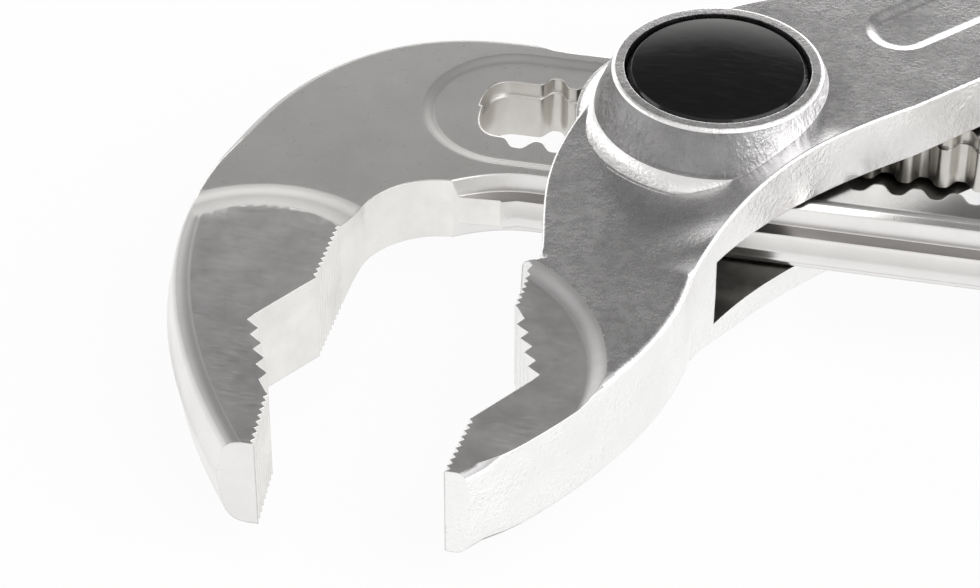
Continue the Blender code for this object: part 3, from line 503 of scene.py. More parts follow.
def toe(reach, start, distance):
    """How far a face leans towards the other jaw: none at its pocket, its full reach at the tip."""
    return reach * ((distance - start) / (FACE_LENGTH - start)) ** 2


def box_face():
    """The box jaw from root to tip: its pocket has the coarse teeth on the side nearer the root."""
    root, pocket, deepest, leaves = BOX_FACE
    shift = Vector((FACE_SHIFT, 0.0))
    into = Vector((1.0, 0.0))
    points = teeth(face_point(root) + shift, face_point(pocket) + shift, FINE_PITCH, FINE_DEPTH, into)
    deep = face_point(deepest, -POCKET_DEPTH) + shift
    points += teeth(face_point(pocket) + shift, deep, COARSE_PITCH, COARSE_DEPTH, into)
    edge = face_point(leaves, toe(BOX_TOE, deepest, leaves)) + shift
    points += teeth(edge, face_point(FACE_LENGTH, BOX_TOE) + shift, FINE_PITCH, FINE_DEPTH, into)
    return points


def throat_outline():
    """What is milled out of the hook: the jaw's face, then the round throat up to the arm's edge."""
    tip = face_point(FACE_LENGTH)
    outline = [(tip.x, tip.y - DEEP)] + list(reversed(slotted_face()))
    for degrees in THROAT_ARC:
        turn = radians(degrees)
        outline.append(THROAT_CENTRE + Vector((cos(turn), sin(turn))) * THROAT_RADIUS)
    outline.append((THROAT_EXIT_X, ARM_NEAR_Y - SLIDE_GAP))
    outline.append((THROAT_EXIT_X + FAR_OUT / 4, ARM_NEAR_Y - THROAT_RADIUS))
    outline.append((THROAT_EXIT_X + FAR_OUT / 4, tip.y - DEEP))
    return outline


def hook_station(share):
    """Sections round the hook, from its widest point (0) to the arm (1)."""
    turn = pi / 2 * share
    power = 2 / HOOK_FULLNESS
    rise = ARM_CENTRE_Y + TONGUE_HALF_WIDTH - HOOK_CENTRE.y
    outer = HOOK_CENTRE + Vector((-HOOK_REACH * cos(turn) ** power, rise * sin(turn) ** power))
    reach = THROAT_RADIUS - HOOK_STOCK
    inner = THROAT_CENTRE + Vector((-cos(turn), sin(turn))) * reach
    return hook_section(outer, inner, ease(share / HOOK_THINS))


def hook_section(outer, inner, share):
    """A section of the lever: jaw thickness at 0, arm thickness with something left to mill at 1."""
    arm = ARM_HALF + MILLED_OFF
    made = plain_station(outer, inner, mix(JAW_HALF, arm, share), mix(JAW_EDGE, FORGED_EDGE, share))
    return made._replace(low=-mix(JAW_BACK, arm, share))


def tip_station(share):
    """Sections of the hook's jaw, from the tip (0) to the hook's widest point (1)."""
    tip_y = face_point(FACE_LENGTH).y
    y = mix(tip_y, HOOK_CENTRE.y, share)
    taper = HOOK_TIP_TAPER * (1 - share) ** HOOK_TIP_POWER
    outer = Vector((HOOK_CENTRE.x - HOOK_REACH + taper, y))
    inner = Vector((THROAT_CENTRE.x - THROAT_RADIUS + HOOK_STOCK, y))
    return hook_section(outer, inner, 0.0)


def plain_station(left, right, half, edge):
    return Station(left, right, -half, half, half, half, edge)


def bent_axis(distance):
    """A point and a heading on the slotted handle: a bend, then a straight run."""
    turn = min(distance, SLOTTED_BEND_LENGTH) / SLOTTED_BEND_RADIUS
    point = Vector((SLOTTED_BEND_X + SLOTTED_BEND_RADIUS * sin(turn), 0.0))
    point.y = ARM_CENTRE_Y + SLOTTED_BEND_RADIUS * (1 - cos(turn))
    straight = max(0.0, distance - SLOTTED_BEND_LENGTH)
    return point + Vector((cos(turn), sin(turn))) * straight, turn


def straight_axis(distance):
    """A point and a heading on the box lever's handle, which swings in to the line through the pivot."""
    along = Vector((cos(BOX_HANDLE_ANGLE), sin(BOX_HANDLE_ANGLE)))
    swung = ease((distance - BOX_PANEL_START) / (BOX_TANG_START - BOX_PANEL_START))
    shift = BOX_HANDLE_SHIFT * (1 - swung)
    return along * distance + Vector((along.y, -along.x)) * shift, BOX_HANDLE_ANGLE


def across_axis(axis, distance, half_width, half, extra=0.0):
    """A section square to a handle's axis."""
    point, turn = axis(distance)
    side = Vector((sin(turn), -cos(turn))) * (half_width + extra)
    edge = min(half_width, half) * HANDLE_ROUND + extra
    return plain_station(point - side, point + side, half + extra, edge)


def slotted_handle(distance, extra=0.0):
    share = ease(distance / SLOTTED_BEND_LENGTH)
    half_width = mix(TONGUE_HALF_WIDTH, TANG_HALF_WIDTH, share)
    half = mix(ARM_HALF + MILLED_OFF, TANG_HALF, share)
    made = across_axis(bent_axis, distance, half_width, half, extra)
    return made._replace(edge=mix(FORGED_EDGE, made.edge, share))


def box_handle(distance, extra=0.0):
    share = ease((distance - BOX_TAPER_START) / (BOX_TANG_START - BOX_TAPER_START))
    half_width = mix(BOX_HANDLE_HALF, TANG_HALF_WIDTH, share)
    made = across_axis(straight_axis, distance, half_width, TANG_HALF, extra)
    low = mix(FAR_BACK, -TANG_HALF, share) - extra
    high = mix(HANDLE_TOP, TANG_HALF, share) + extra
    edge = mix(NECK_EDGE, made.edge, share)
    return Station(made.left, made.right, low, high, high, high, edge)


def make_slotted_lever():
    """The lever with the hook, the slot and its own handle."""
    tip = [tip_station(share) for share in steps(TIP_STEPS)[:-1]]
    hook = [hook_station(share) for share in steps(HOOK_STEPS)]
    bend = [slotted_handle(distance) for distance in steps(BEND_STEPS, 0.0, SLOTTED_BEND_LENGTH)]
    half = Vector((0.0, TONGUE_HALF_WIDTH))
    centre = Vector((THROAT_EXIT_X + RABBET_RAMP / 2, ARM_CENTRE_Y))
    arm = [hook_section(centre + half, centre - half, 1.0)]
    lever = loft("slotted_lever", tip + hook + arm + bend + [slotted_handle(SLOTTED_HANDLE_END)])
    faces = [arm_face("top", 1, JAW_HALF), arm_face("back", -1, JAW_BACK)]
    lever = combine(lever, faces)
    edges = []
    for y_name, side_y in (("far", 1), ("near", -1)):
        for z_name, side_z in (("top", 1), ("back", -1)):
            edges.append(rabbet(f"rabbet_{y_name}_{z_name}", side_y, side_z))
    lever = combine(lever, edges)
    lever = combine(lever, [panel("panel_top", 1), panel("panel_back", -1)])
    slot = prism("slot", slot_outline())
    tier = prism("slot_tier", tier_outline(), low=SLOT_TIER)
    throat = prism("throat", throat_outline())
    return combine(lever, [slot, tier, throat])


def rabbet(name, side_y, side_z):
    """The step along one long edge of the arm: a leaning wall that sweeps out to the edge at the jaw."""
    rings = []
    for height in (TONGUE_HALF, 2 * ARM_HALF):
        share = (height - TONGUE_HALF) / (ARM_HALF - TONGUE_HALF)
        wall = RIM_HALF_WIDTH - RABBET_LEAN * share
        end = SLOTTED_BEND_X - RABBET_RAMP * (1.5 - share)
        line = [(end, FAR_OUT), (end, wall)]
        for back in steps(JAW_STEPS, 0.0, RABBET_SWEEP):
            line.append((RABBET_SWEEP_X - back, wall + back * back / RABBET_SWEEP_RADIUS / 2))
        line.append((RABBET_SWEEP_X - RABBET_SWEEP, FAR_OUT))
        rings.append([(x, ARM_CENTRE_Y + side_y * y, side_z * height) for x, y in line])
    return skinned(name, rings)


def arm_face(name, side, jaw):
    """What is milled off one face of the lever: all but the jaw's pad, which runs down to it in a hollow."""
    start, stop = -FAR_OUT * 3, SLOTTED_BEND_X - RABBET_RAMP / 4
    near_y = PAD_CENTRE.y - FAR_OUT * 2
    outline = [(start, near_y), (stop, near_y), (stop, FAR_OUT), (start, FAR_OUT)]
    cutter = prism(f"face_{name}", outline, side * ARM_HALF, side * DEEP)
    rise = jaw - ARM_HALF
    profile = []
    for share in steps(SOFT_STEPS, SOFT_START):
        profile.append((PAD_RADIUS + PAD_SLOPE * (1 - share), side * (ARM_HALF + rise * share * share)))
    profile = [run_out(profile[1], profile[0])] + profile + [(PAD_RADIUS, side * (jaw + rise))]
    plug = stadium(f"pad_{name}", PAD_CENTRE, PAD_CENTRE - Vector((0.0, FAR_OUT * 3)), profile)
    return combine(cutter, [plug])


def panel(name, side):
    """The shallow panel round the slot, with a soft slope along its edge."""
    start = Vector((SLOT_START_X - PANEL_END + PANEL_HALF_WIDTH, ARM_CENTRE_Y))
    end = Vector((SLOT_STOP_X + PANEL_END - PANEL_HALF_WIDTH, ARM_CENTRE_Y))
    profile = soft_edge(PANEL_HALF_WIDTH, PANEL_SLOPE, side * ARM_HALF, side * PANEL_DEPTH)
    return stadium(name, start, end, profile)


def soft_edge(radius, slope, face, depth):
    """A profile for a shallow panel: its floor, a soft slope up to the face, and on out of the metal."""
    profile = []
    for share in steps(SOFT_STEPS, 0.0, 1.0 - SOFT_START):
        profile.append((radius - slope * (1 - share), face - depth * (1 - ease(share))))
    profile.append(run_out(profile[-2], profile[-1]))
    return profile + [(profile[-1][0], face + depth)]


def run_out(before, last):
    """The next point on a straight line, so that a soft slope crosses a face instead of lying on it."""
    return tuple(2 * b - a for a, b in zip(before, last))


def box_jaw_station(share):
    """Sections of the box jaw, from its rounder tip (0) to the neck (1)."""
    y = mix(face_point(FACE_LENGTH).y, BOX_BACK.y, share)
    back = BOX_BACK.x - BOX_BACK_TAPER * (1 - share) ** BOX_BACK_POWER
    front = face_point(FACE_LENGTH).x + FACE_SHIFT - BOX_STOCK
    if share == 1:
        front = NECK_FRONT_X
    grown = ease(share / TIP_SHARE)
    edge = mix(TIP_EDGE, BOX_EDGE, grown)
    rise = mix(TIP_RISE, NECK_RISE, grown)
    made = plain_station(Vector((front, y)), Vector((back, y)), JAW_HALF + rise, edge)
    return made._replace(low=-JAW_BACK - rise / 3)


def bend_through(points, share):
    """A point on the smooth curve from the first point to the last, pulled by those between."""
    while len(points) > 1:
        points = [first.lerp(second, share) for first, second in zip(points, points[1:])]
    return points[0]


def neck_station(share):
    """Sections from the jaw (0) round the boss to the handle (1). The top climbs at the back edge first."""
    handle = box_handle(BOX_HANDLE_START)
    front_pulls = [BOX_CORNER + pull for pull in NECK_FRONT_PULLS]
    back_pulls = [BOX_CORNER + pull for pull in NECK_BACK_PULLS]
    left = bend_through([Vector((NECK_FRONT_X, BOX_BACK.y)), *front_pulls, handle.left], share)
    right = bend_through([BOX_BACK, *back_pulls, handle.right], share)
    front = JAW_HALF + NECK_RISE
    low = mix(-JAW_BACK - NECK_RISE / 3, FAR_BACK, ease(share / NECK_DROP))
    climbs = [ease((share - start) / length) for start, length in (NECK_FRONT_CLIMB, NECK_MIDDLE_CLIMB)]
    climbs.append(sin(pi / 2 * min(1.0, share / NECK_BACK_CLIMB)))
    heights = [mix(front, HANDLE_TOP, climb) for climb in climbs]
    return Station(left, right, low, *heights, NECK_EDGE)


def window_outline():
    """The gap between the cheeks: closed by the neck and by a sloping wall at the handle."""
    wall = TONGUE_HALF_WIDTH + HANDLE_WALL_GAP
    rise = tan(HANDLE_WALL_SLOPE) * FAR_OUT * 2
    handle = [(FAR_OUT * 2, NECK_WALL_Y), (FAR_OUT * 2, wall + rise)]
    return [(-FAR_OUT, NECK_WALL_Y)] + handle + [(0.0, wall), (-FAR_OUT, wall)]


def box_face_outline():
    """What is milled off the front of the box jaw."""
    points = box_face()
    tip, root = points[-1], points[0]
    left = root.x - FAR_OUT / 2
    return [(left, root.y)] + points + [(tip.x, tip.y - DEEP), (left, tip.y - DEEP)]


def box_panel():
    """The long shallow panel on the handle's top."""
    start = straight_axis(BOX_PANEL_START + BOX_PANEL_HALF)[0]
    end = straight_axis(BOX_PANEL_END - BOX_PANEL_HALF)[0]
    profile = soft_edge(BOX_PANEL_HALF, PANEL_SLOPE, HANDLE_TOP, PANEL_DEPTH)
    return stadium("handle_panel", start, end, profile)


def make_box_lever():
    """The lever that the arm passes through, with the second jaw, the boss and its own handle."""
    jaw = [box_jaw_station(share) for share in steps(JAW_STEPS)]
    neck = [neck_station(share) for share in steps(NECK_STEPS)[1:-1]]
    taper = steps(TAPER_STEPS, BOX_TAPER_START, BOX_TANG_START)
    handle = [box_handle(distance) for distance in (BOX_HANDLE_START, *taper, BOX_HANDLE_LENGTH)]
    lever = loft("box_lever", jaw + neck + handle)
    lever = combine(lever, [turned("boss", boss_profile())], "UNION")
    window = prism("window", window_outline(), -CHEEK_INNER, CHEEK_INNER)
    face = prism("face", box_face_outline())
    top = jaw_flat("flat_top", 1, JAW_HALF, NECK_RISE)
    back = jaw_flat("flat_back", -1, JAW_BACK, NECK_RISE / 3)
    return combine(lever, [window, face, top, back, box_panel(), make_bore()])


def jaw_flat(name, side, jaw, rise):
    """What is milled off one side of the box jaw: a round flat with a soft step up to the neck."""
    profile = []
    for share in steps(SOFT_STEPS, 0.0, 1.0 - SOFT_START):
        profile.append((BOX_FLAT_RADIUS + BOX_FLAT_SLOPE * share, side * (jaw + rise * ease(share))))
    profile.append(run_out(profile[-2], profile[-1]))
    profile.append((profile[-1][0], side * DEEP))
    return stadium(name, BOX_FLAT_CENTRE, BOX_FLAT_CENTRE, profile)


def boss_profile():
    """The boss: a rounded top edge, a tapered wall, and a hollow fillet where it stands on the neck."""
    foot = JAW_HALF + NECK_RISE + FOOT_STEP
    wall_foot = BOSS_RADIUS + BOSS_TAPER
    arc = [(1 - sin(turn), 1 - cos(turn)) for turn in steps(SOFT_STEPS - 1, 0.0, pi / 2)]
    profile = [(0.0, BOSS_TOP)]
    profile += [(BOSS_RADIUS - BOSS_EDGE * a, BOSS_TOP - BOSS_EDGE * b) for a, b in arc]
    profile += [(wall_foot + BOSS_FILLET * b, foot + BOSS_FILLET * a) for a, b in arc]
    profile += [(wall_foot + BOSS_FILLET, 0.0), (wall_foot, FAR_BACK)]
    return profile + [(BOSS_RADIUS, FAR_BOSS_FACE), (0.0, FAR_BOSS_FACE)]


def make_bore():
    """The bore through both cheeks: button well, stem hole, journal bore and cover seat."""
    well = BUTTON_RADIUS + RUN_GAP
    stem = STEM_RADIUS + RUN_GAP
    journal = JOURNAL_RADIUS + RUN_GAP
    seat = COVER_RADIUS + RUN_GAP
    ledge = COVER_TOP + RUN_GAP
    profile = [(0.0, BOSS_TOP + DEEP), (well, BOSS_TOP + DEEP), (well, BUTTON_FLOOR), (stem, BUTTON_FLOOR)]
    profile += [(stem, 0.0), (journal, 0.0), (journal, ledge), (seat, ledge)]
    profile += [(seat, ledge - DEEP), (0.0, ledge - DEEP)]
    return turned("bore", profile)


def make_push_button():
    """A crowned disc with a socket for the bolt's stem."""
    rim = BUTTON_RADIUS - BUTTON_EDGE_ROUND
    profile = []
    for share in steps(2 * SOFT_STEPS):
        profile.append((rim * share, BUTTON_EDGE + BUTTON_CROWN * (1 - share**BUTTON_CROWN_POWER)))
    profile += [(BUTTON_RADIUS, BUTTON_EDGE - BUTTON_EDGE_ROUND), (BUTTON_RADIUS, BUTTON_UNDERSIDE)]
    socket = STEM_RADIUS + RUN_GAP
    profile += [(socket, BUTTON_UNDERSIDE), (socket, BUTTON_UNDERSIDE + SOCKET_DEPTH)]
    profile.append((0.0, BUTTON_UNDERSIDE + SOCKET_DEPTH))
    return turned("push_button", profile)


def make_return_spring(floor, ceiling):
    """A coil between the washer and the end of the bolt's bore, with round wire."""
    radius = WASHER_RADIUS - SPRING_WIRE / 2
    low = floor + RUN_GAP + SPRING_WIRE / 2
    high = ceiling - RUN_GAP - SPRING_WIRE / 2
    rolls = steps(WIRE_SIDES, 0.0, 2 * pi)[:-1]
    rings = []
    for share in steps(SPRING_TURNS * TURN_STEPS):
        turn = 2 * pi * SPRING_TURNS * share
        out = Vector((cos(turn), sin(turn), 0.0))
        made = []
        for roll in rolls:
            place = out * (radius + SPRING_WIRE / 2 * cos(roll))
            place.z = mix(low, high, share) + SPRING_WIRE / 2 * sin(roll)
            made.append(place)
        rings.append(made)
    return skinned("return_spring", rings)


def grip(name, core, start, end):
    """A dipped sleeve: a guard at the front, a gentle swell, a closed round end and a bore for the tang."""
    length = end - start
    stations = []
    for share in steps(GRIP_STEPS):
        guard = GRIP_GUARD * max(0.0, 1 - abs(share - GUARD_PLACE) / GUARD_SPREAD)
        swell = GRIP_SWELL * sin(pi * min(1.0, share * SWELL_RATE)) ** 2
        round_end = GRIP_WALL * ease((share - ROUND_START) / ROUND_LENGTH) * ROUND_DEPTH
        stations.append(core(start + length * share, GRIP_WALL + guard + swell - round_end))
    sleeve = loft(name, stations)
    bore = [core(start - GRIP_WALL, RUN_GAP), core(end - GRIP_WALL, RUN_GAP)]
    return combine(sleeve, [loft("bore", bore)])


# Finishes: where painted shade lies along X and beside it, and how the soft slopes look
ShadeZone = namedtuple("ShadeZone", "start full fade stop half most")
# Painted shade: the arm is darkened beneath the box lever's handle, and the boss wall on its left side
ARM_PAINTED_SHADE = ShadeZone(2.0 * MM, 14.0 * MM, 42.0 * MM, 56.0 * MM, 9.8 * MM, 0.6)
BOSS_PAINTED_SHADE = ShadeZone(-40.0 * MM, -30.0 * MM, 3.0 * MM, 10.0 * MM, 40.0 * MM, 0.76)
SHADE_FADE = 1.4 * MM
SHADE_PATCHY = 0.75
# Painted shade on the soft slopes between flats: the share by which their colour is darkened
SLOPE_SHADE = 0.52
SLOPE_ROUGH = 0.22
SLOPE_BEGINS = (0.05, 0.2)
SLOPE_ENDS = (0.7, 0.93)
FINE_EDGE = 0.12 * MM
BEVEL_SAMPLES = 6
SHARP_ANGLE = radians(30)

# Bounds on a face's normal and place, by which it gets its finish
TRUE_FLAT = 0.999
FLAT = 0.99
UPRIGHT = 0.02
SLANTED = 0.4
STEEP = 0.6
ALONG_ARM = 0.9995
FACING_OUT = 0.15
NEARBY = 0.03 * MM
WALL_MARGIN = 0.1 * MM

# Studio and camera
FLOOR_REACH = 3.0
FLOOR_GAP = 0.02 * MM
FLOOR_GREY = (0.85, 0.85, 0.85, 1.0)
WHITE = (1.0, 1.0, 1.0, 1.0)
SHADOW_SHARE = 0.07
SKY_TINT = (1.0, 0.99, 0.98)
ROOM = ((0.0, 1.0), (0.16, 1.0), (0.34, 0.25), (0.5, 0.165), (0.8, 0.165), (0.93, 0.9), (1.0, 1.1))
BEHIND = ((0.0, 2.0), (0.27, 2.0), (0.52, 0.0))
BEFORE = ((0.25, 0.0), (0.45, 0.65), (0.85, 0.6), (0.97, 0.0))
LAMPS = (("key", Vector((0.9, -0.3, 0.72)), 1.4, 10.5), ("fill", Vector((-1.0, -0.1, 0.5)), 0.6, 2.0))
CAMERA_TURN = radians(11.8)
CAMERA_TILT = radians(39.5)
CAMERA_PLACE = (0.03586, -0.28316, 0.22651)
FOCAL_PIXELS = 3500
PHOTO_WIDTH = 980


class Nodes:
    """Short calls to make and join the nodes of one material or world."""

    def __init__(self, owner):
        owner.use_nodes = True
        self.owner = owner
        self.tree = owner.node_tree
        self.tree.nodes.clear()

    def add(self, kind, sockets=None, **settings):
        node = self.tree.nodes.new(f"ShaderNode{kind}")
        for key, value in settings.items():
            setattr(node, key, value)
        for key, value in (sockets or {}).items():
            if isinstance(value, bpy.types.NodeSocket):
                self.tree.links.new(value, node.inputs[key])
            else:
                node.inputs[key].default_value = value
        return node

    def surface(self, colour, rough, normal, **constants):
        """Join the material's shader, and return the material."""
        sockets = {"Base Color": colour, "Roughness": rough, "Normal": normal, **constants}
        shader = self.add("BsdfPrincipled", sockets)
        self.add("OutputMaterial", {"Surface": shader.outputs["BSDF"]})
        return self.owner

    def noise(self, vector, scale=1.0, detail=2.0, rough=0.5):
        sockets = {"Vector": vector, "Scale": scale, "Detail": detail, "Roughness": rough}
        return self.add("TexNoise", sockets).outputs["Fac"]

    def spread(self, value, low, high, start=0.3, end=0.7):
        sockets = {"Value": value, "From Min": start, "From Max": end, "To Min": low, "To Max": high}
        return self.add("MapRange", sockets).outputs["Result"]

    def stretch(self, vector, scale, turn=0.0):
        sockets = {"Vector": vector, "Scale": scale, "Rotation": (0.0, 0.0, turn)}
        return self.add("Mapping", sockets).outputs["Vector"]

    def colours(self, value, stops):
        ramp = self.add("ValToRGB", {"Fac": value})
        elements = ramp.color_ramp.elements
        for element, (place, colour) in zip(elements, (stops[0], stops[-1])):
            element.position = place
            element.color = (*colour, 1.0)
        for place, colour in stops[1:-1]:
            elements.new(place).color = (*colour, 1.0)
        return ramp.outputs["Color"]

    def tones(self, value, first, second, start=0.35, end=0.65):
        return self.colours(value, [(start, first), (end, second)])

    def bands(self, value, stops):
        return self.colours(value, [(place, scaled(SKY_TINT, level)) for place, level in stops])

    def bump(self, height, distance, normal=None):
        sockets = {"Height": height, "Distance": distance}
        if normal is not None:
            sockets["Normal"] = normal
        return self.add("Bump", sockets).outputs["Normal"]

    def soft_edges(self, radius):
        return self.add("Bevel", {"Radius": radius}, samples=BEVEL_SAMPLES).outputs["Normal"]

    def math(self, operation, first, second=0.0):
        return self.add("Math", {0: first, 1: second}, operation=operation).outputs[0]

    def times(self, first, second):
        return self.math("MULTIPLY", first, second)

    def vector(self, operation, sockets):
        return self.add("VectorMath", sockets, operation=operation).outputs


def scaled(colour, factor):
    return tuple(c * factor for c in colour)


def start_material(name):
    nodes = Nodes(bpy.data.materials.new(name))
    return nodes, nodes.add("TexCoord").outputs["Object"]


def painted_shade_cover(nodes, place, patches, shade_patches):
    """How much painted shade lies at a place: within a range of X and a half width in Y, in patches."""
    parts = nodes.add("SeparateXYZ", {0: place}).outputs
    begun = nodes.spread(parts["X"], 0.0, shade_patches.most, shade_patches.start, shade_patches.full)
    ended = nodes.spread(parts["X"], 1.0, 0.0, shade_patches.fade, shade_patches.stop)
    aside = nodes.math("ABSOLUTE", parts["Y"])
    inside = nodes.spread(aside, 1.0, 0.0, shade_patches.half - SHADE_FADE, shade_patches.half)
    patchy = nodes.spread(patches, SHADE_PATCHY, 1.0)
    return nodes.times(nodes.times(begun, ended), nodes.times(inside, patchy))


def slope_cover(nodes):
    """1 on the soft slopes between flats, 0 on the flats and on the walls."""
    normal = nodes.add("NewGeometry").outputs["Normal"]
    level = nodes.vector("MULTIPLY", {0: normal, 1: (1.0, 1.0, 0.0)})[0]
    lean = nodes.vector("LENGTH", {0: level})["Value"]
    return nodes.times(nodes.spread(lean, 0.0, 1.0, *SLOPE_BEGINS), nodes.spread(lean, 1.0, 0.0, *SLOPE_ENDS))


def plated(name, colour, rough, grain, grain_scale, dents, edge, tall=1.0, vary=0.035, shade_patches=None):
    """Plated forging: a blasted grain that comes and goes, broad soft dents and patches that shine more.

    Given a zone of painted shade, it is darker where that zone lies, and its soft slopes get painted shade
    and more roughness.
    """
    nodes, place = start_material(name)
    patches = nodes.noise(place, scale=150.0, detail=4.0, rough=0.6)
    tint = nodes.tones(patches, scaled(colour, 0.93), colour)
    shine = nodes.spread(nodes.noise(place, scale=900.0, detail=4.0, rough=0.65), rough - vary, rough + vary)
    if shade_patches is not None:
        slopes = slope_cover(nodes)
        # Painted shade: darker where the zone lies, and darker on the soft slopes
        unshaded = nodes.math("SUBTRACT", 1.0, painted_shade_cover(nodes, place, patches, shade_patches))
        dim = nodes.times(unshaded, nodes.spread(slopes, 1.0, 1.0 - SLOPE_SHADE, 0.0, 1.0))
        tint = nodes.vector("SCALE", {0: tint, "Scale": dim})[0]
        shine = nodes.math("ADD", shine, nodes.spread(slopes, 0.0, SLOPE_ROUGH, 0.0, 1.0))
    dented = nodes.bump(nodes.noise(place, scale=260.0), dents, nodes.soft_edges(edge))
    coarse = nodes.noise(nodes.stretch(place, (1.0, 1.0, tall)), grain_scale, detail=3.0, rough=0.7)
    height = nodes.times(coarse, nodes.spread(patches, 0.45, 1.3, 0.35, 0.65))
    return nodes.surface(tint, shine, nodes.bump(height, grain, dented), Metallic=1.0)


def ground(name, colour, rough, turn, depth, stain=0.88):
    """A ground flat: fine scratches in one direction, a few longer ones across them, faint stains."""
    nodes, place = start_material(name)
    fine = nodes.noise(nodes.stretch(place, (700.0, 3600.0, 700.0), turn), detail=3.0, rough=0.6)
    across = nodes.noise(nodes.stretch(place, (3000.0, 600.0, 600.0), turn + 0.6), detail=3.0, rough=0.6)
    stains = nodes.noise(place, scale=170.0, detail=5.0, rough=0.65)
    tint = nodes.tones(stains, scaled(colour, stain), colour)
    shine = nodes.spread(fine, rough - 0.03, rough + 0.04)
    lines = nodes.bump(fine, depth, nodes.soft_edges(FINE_EDGE))
    return nodes.surface(tint, shine, nodes.bump(across, depth * 0.7, lines), Metallic=1.0)


def inside_painted_shade(name, colour, rough):
    """Steel inside the joint, given a dark colour as painted shade, with mill marks and lighter patches."""
    nodes, place = start_material(name)
    shade_patches = nodes.noise(place, scale=240.0, detail=5.0, rough=0.65)
    tint = nodes.tones(shade_patches, colour, scaled(colour, 1.9), 0.4, 0.75)
    shine = nodes.spread(shade_patches, rough - 0.08, rough + 0.1)
    marks = nodes.noise(nodes.stretch(place, (4000.0, 300.0, 4000.0)))
    milled = nodes.bump(marks, 0.008 * MM, nodes.soft_edges(0.2 * MM))
    return nodes.surface(tint, shine, milled, Metallic=1.0)


def turned_steel(name, colour, rough):
    """Lathe-turned steel: fine rings about the pivot axis."""
    nodes, place = start_material(name)
    parts = nodes.add("SeparateXYZ", {0: place}).outputs
    squares = [nodes.times(parts[axis], parts[axis]) for axis in "XY"]
    radius = nodes.math("SQRT", nodes.math("ADD", *squares))
    rings = nodes.add("CombineXYZ", {"X": radius, "Z": parts["Z"]}).outputs["Vector"]
    lines = nodes.noise(rings, scale=6000.0)
    tint = nodes.tones(lines, scaled(colour, 0.86), colour)
    shine = nodes.spread(lines, rough - 0.06, rough + 0.08)
    grooves = nodes.bump(lines, 0.004 * MM, nodes.soft_edges(FINE_EDGE))
    return nodes.surface(tint, shine, grooves, Metallic=1.0)


def gloss_plastic(name, colour, rough):
    """Moulded black plastic with a faint orange peel and small scuffs."""
    nodes, place = start_material(name)
    scuffs = nodes.noise(nodes.stretch(place, (400.0, 2400.0, 400.0), 0.7), detail=4.0, rough=0.7)
    tint = nodes.tones(scuffs, colour, scaled(colour, 1.8), 0.45, 0.8)
    shine = nodes.spread(scuffs, rough - 0.04, rough + 0.08, 0.35, 0.8)
    peel = nodes.bump(nodes.noise(place, scale=900.0), 0.004 * MM, nodes.soft_edges(0.15 * MM))
    return nodes.surface(tint, shine, peel, Metallic=0.0, IOR=1.45)


def dipped_vinyl(name, colour, rough):
    """Dipped sleeve: slow runs in its thickness, a fine matt skin and paler worn places."""
    nodes, place = start_material(name)
    worn = nodes.noise(place, scale=120.0, detail=4.0, rough=0.6)
    paler = tuple(c * 1.35 + 0.01 for c in colour)
    tint = nodes.tones(worn, colour, paler, 0.35, 0.75)
    shine = nodes.spread(worn, rough - 0.06, rough + 0.1)
    runs = nodes.bump(nodes.noise(nodes.stretch(place, (60.0, 60.0, 90.0))), 0.12 * MM)
    matt = nodes.bump(nodes.noise(place, scale=2600.0), 0.02 * MM, runs)
    return nodes.surface(tint, shine, matt, Metallic=0.0)


def make_finishes():
    """The material of each kind of surface. Depths and edges are real sizes."""
    satin = dict(grain=0.0007 * MM, grain_scale=2800.0, dents=0.003 * MM, edge=0.3 * MM, vary=0.008)
    blasted = dict(grain=0.034 * MM, grain_scale=2300.0, dents=0.012 * MM, edge=0.12 * MM)
    wall = dict(grain=0.14 * MM, grain_scale=2000.0, dents=0.04 * MM, edge=0.2 * MM)
    boss = dict(grain=0.25 * MM, grain_scale=1500.0, dents=0.06 * MM, edge=0.25 * MM, tall=0.4)
    slanting, upright = radians(35), radians(90)
    return {
        "satin": plated("satin_plated", (0.88, 0.87, 0.855), 0.28, shade_patches=ARM_PAINTED_SHADE, **satin),
        "blasted": plated("blasted_plated", (0.74, 0.735, 0.74), 0.27, **blasted),
        # Painted light: a lighter copy of the blasted finish for the side walls and the boss's foot fillet;
        # its coarser grain is the wall's own
        "wall": plated("lit_blasted_wall", (0.97, 0.965, 0.96), 0.36, **wall),
        "boss": plated("blasted_boss", (0.9, 0.89, 0.9), 0.33, shade_patches=BOSS_PAINTED_SHADE, **boss),
        "pad": ground("ground_flat", (0.75, 0.735, 0.735), 0.32, slanting, 0.0045 * MM, stain=0.74),
        # Painted shade: a darker copy of the ground finish, also rougher, on the soft step round the box
        # jaw's flat
        "edge": ground("flat_edge", (0.5, 0.495, 0.495), 0.5, slanting, 0.0035 * MM),
        "milled": ground("milled_wall", (0.9, 0.89, 0.865), 0.32, upright, 0.003 * MM),
        "slot": ground("slot_wall", (0.7, 0.68, 0.64), 0.34, upright, 0.006 * MM),
        # Painted shade: the tongue's ledge under the rim is given a dark colour
        "ledge": ground("ledge_face", (0.35, 0.335, 0.33), 0.36, 0.0, 0.004 * MM),
        # Painted shade: the faces inside the joint get a dark colour
        "inside_shade": inside_painted_shade("inside_painted_shade", (0.17, 0.165, 0.155), 0.42),
        "turned": turned_steel("turned_steel", (0.62, 0.62, 0.63), 0.24),
        "plastic": gloss_plastic("gloss_plastic", (0.004, 0.0035, 0.0035), 0.14),
        "vinyl": dipped_vinyl("dipped_vinyl", (0.03, 0.09, 0.28), 0.42),
    }


FINISHES = make_finishes()


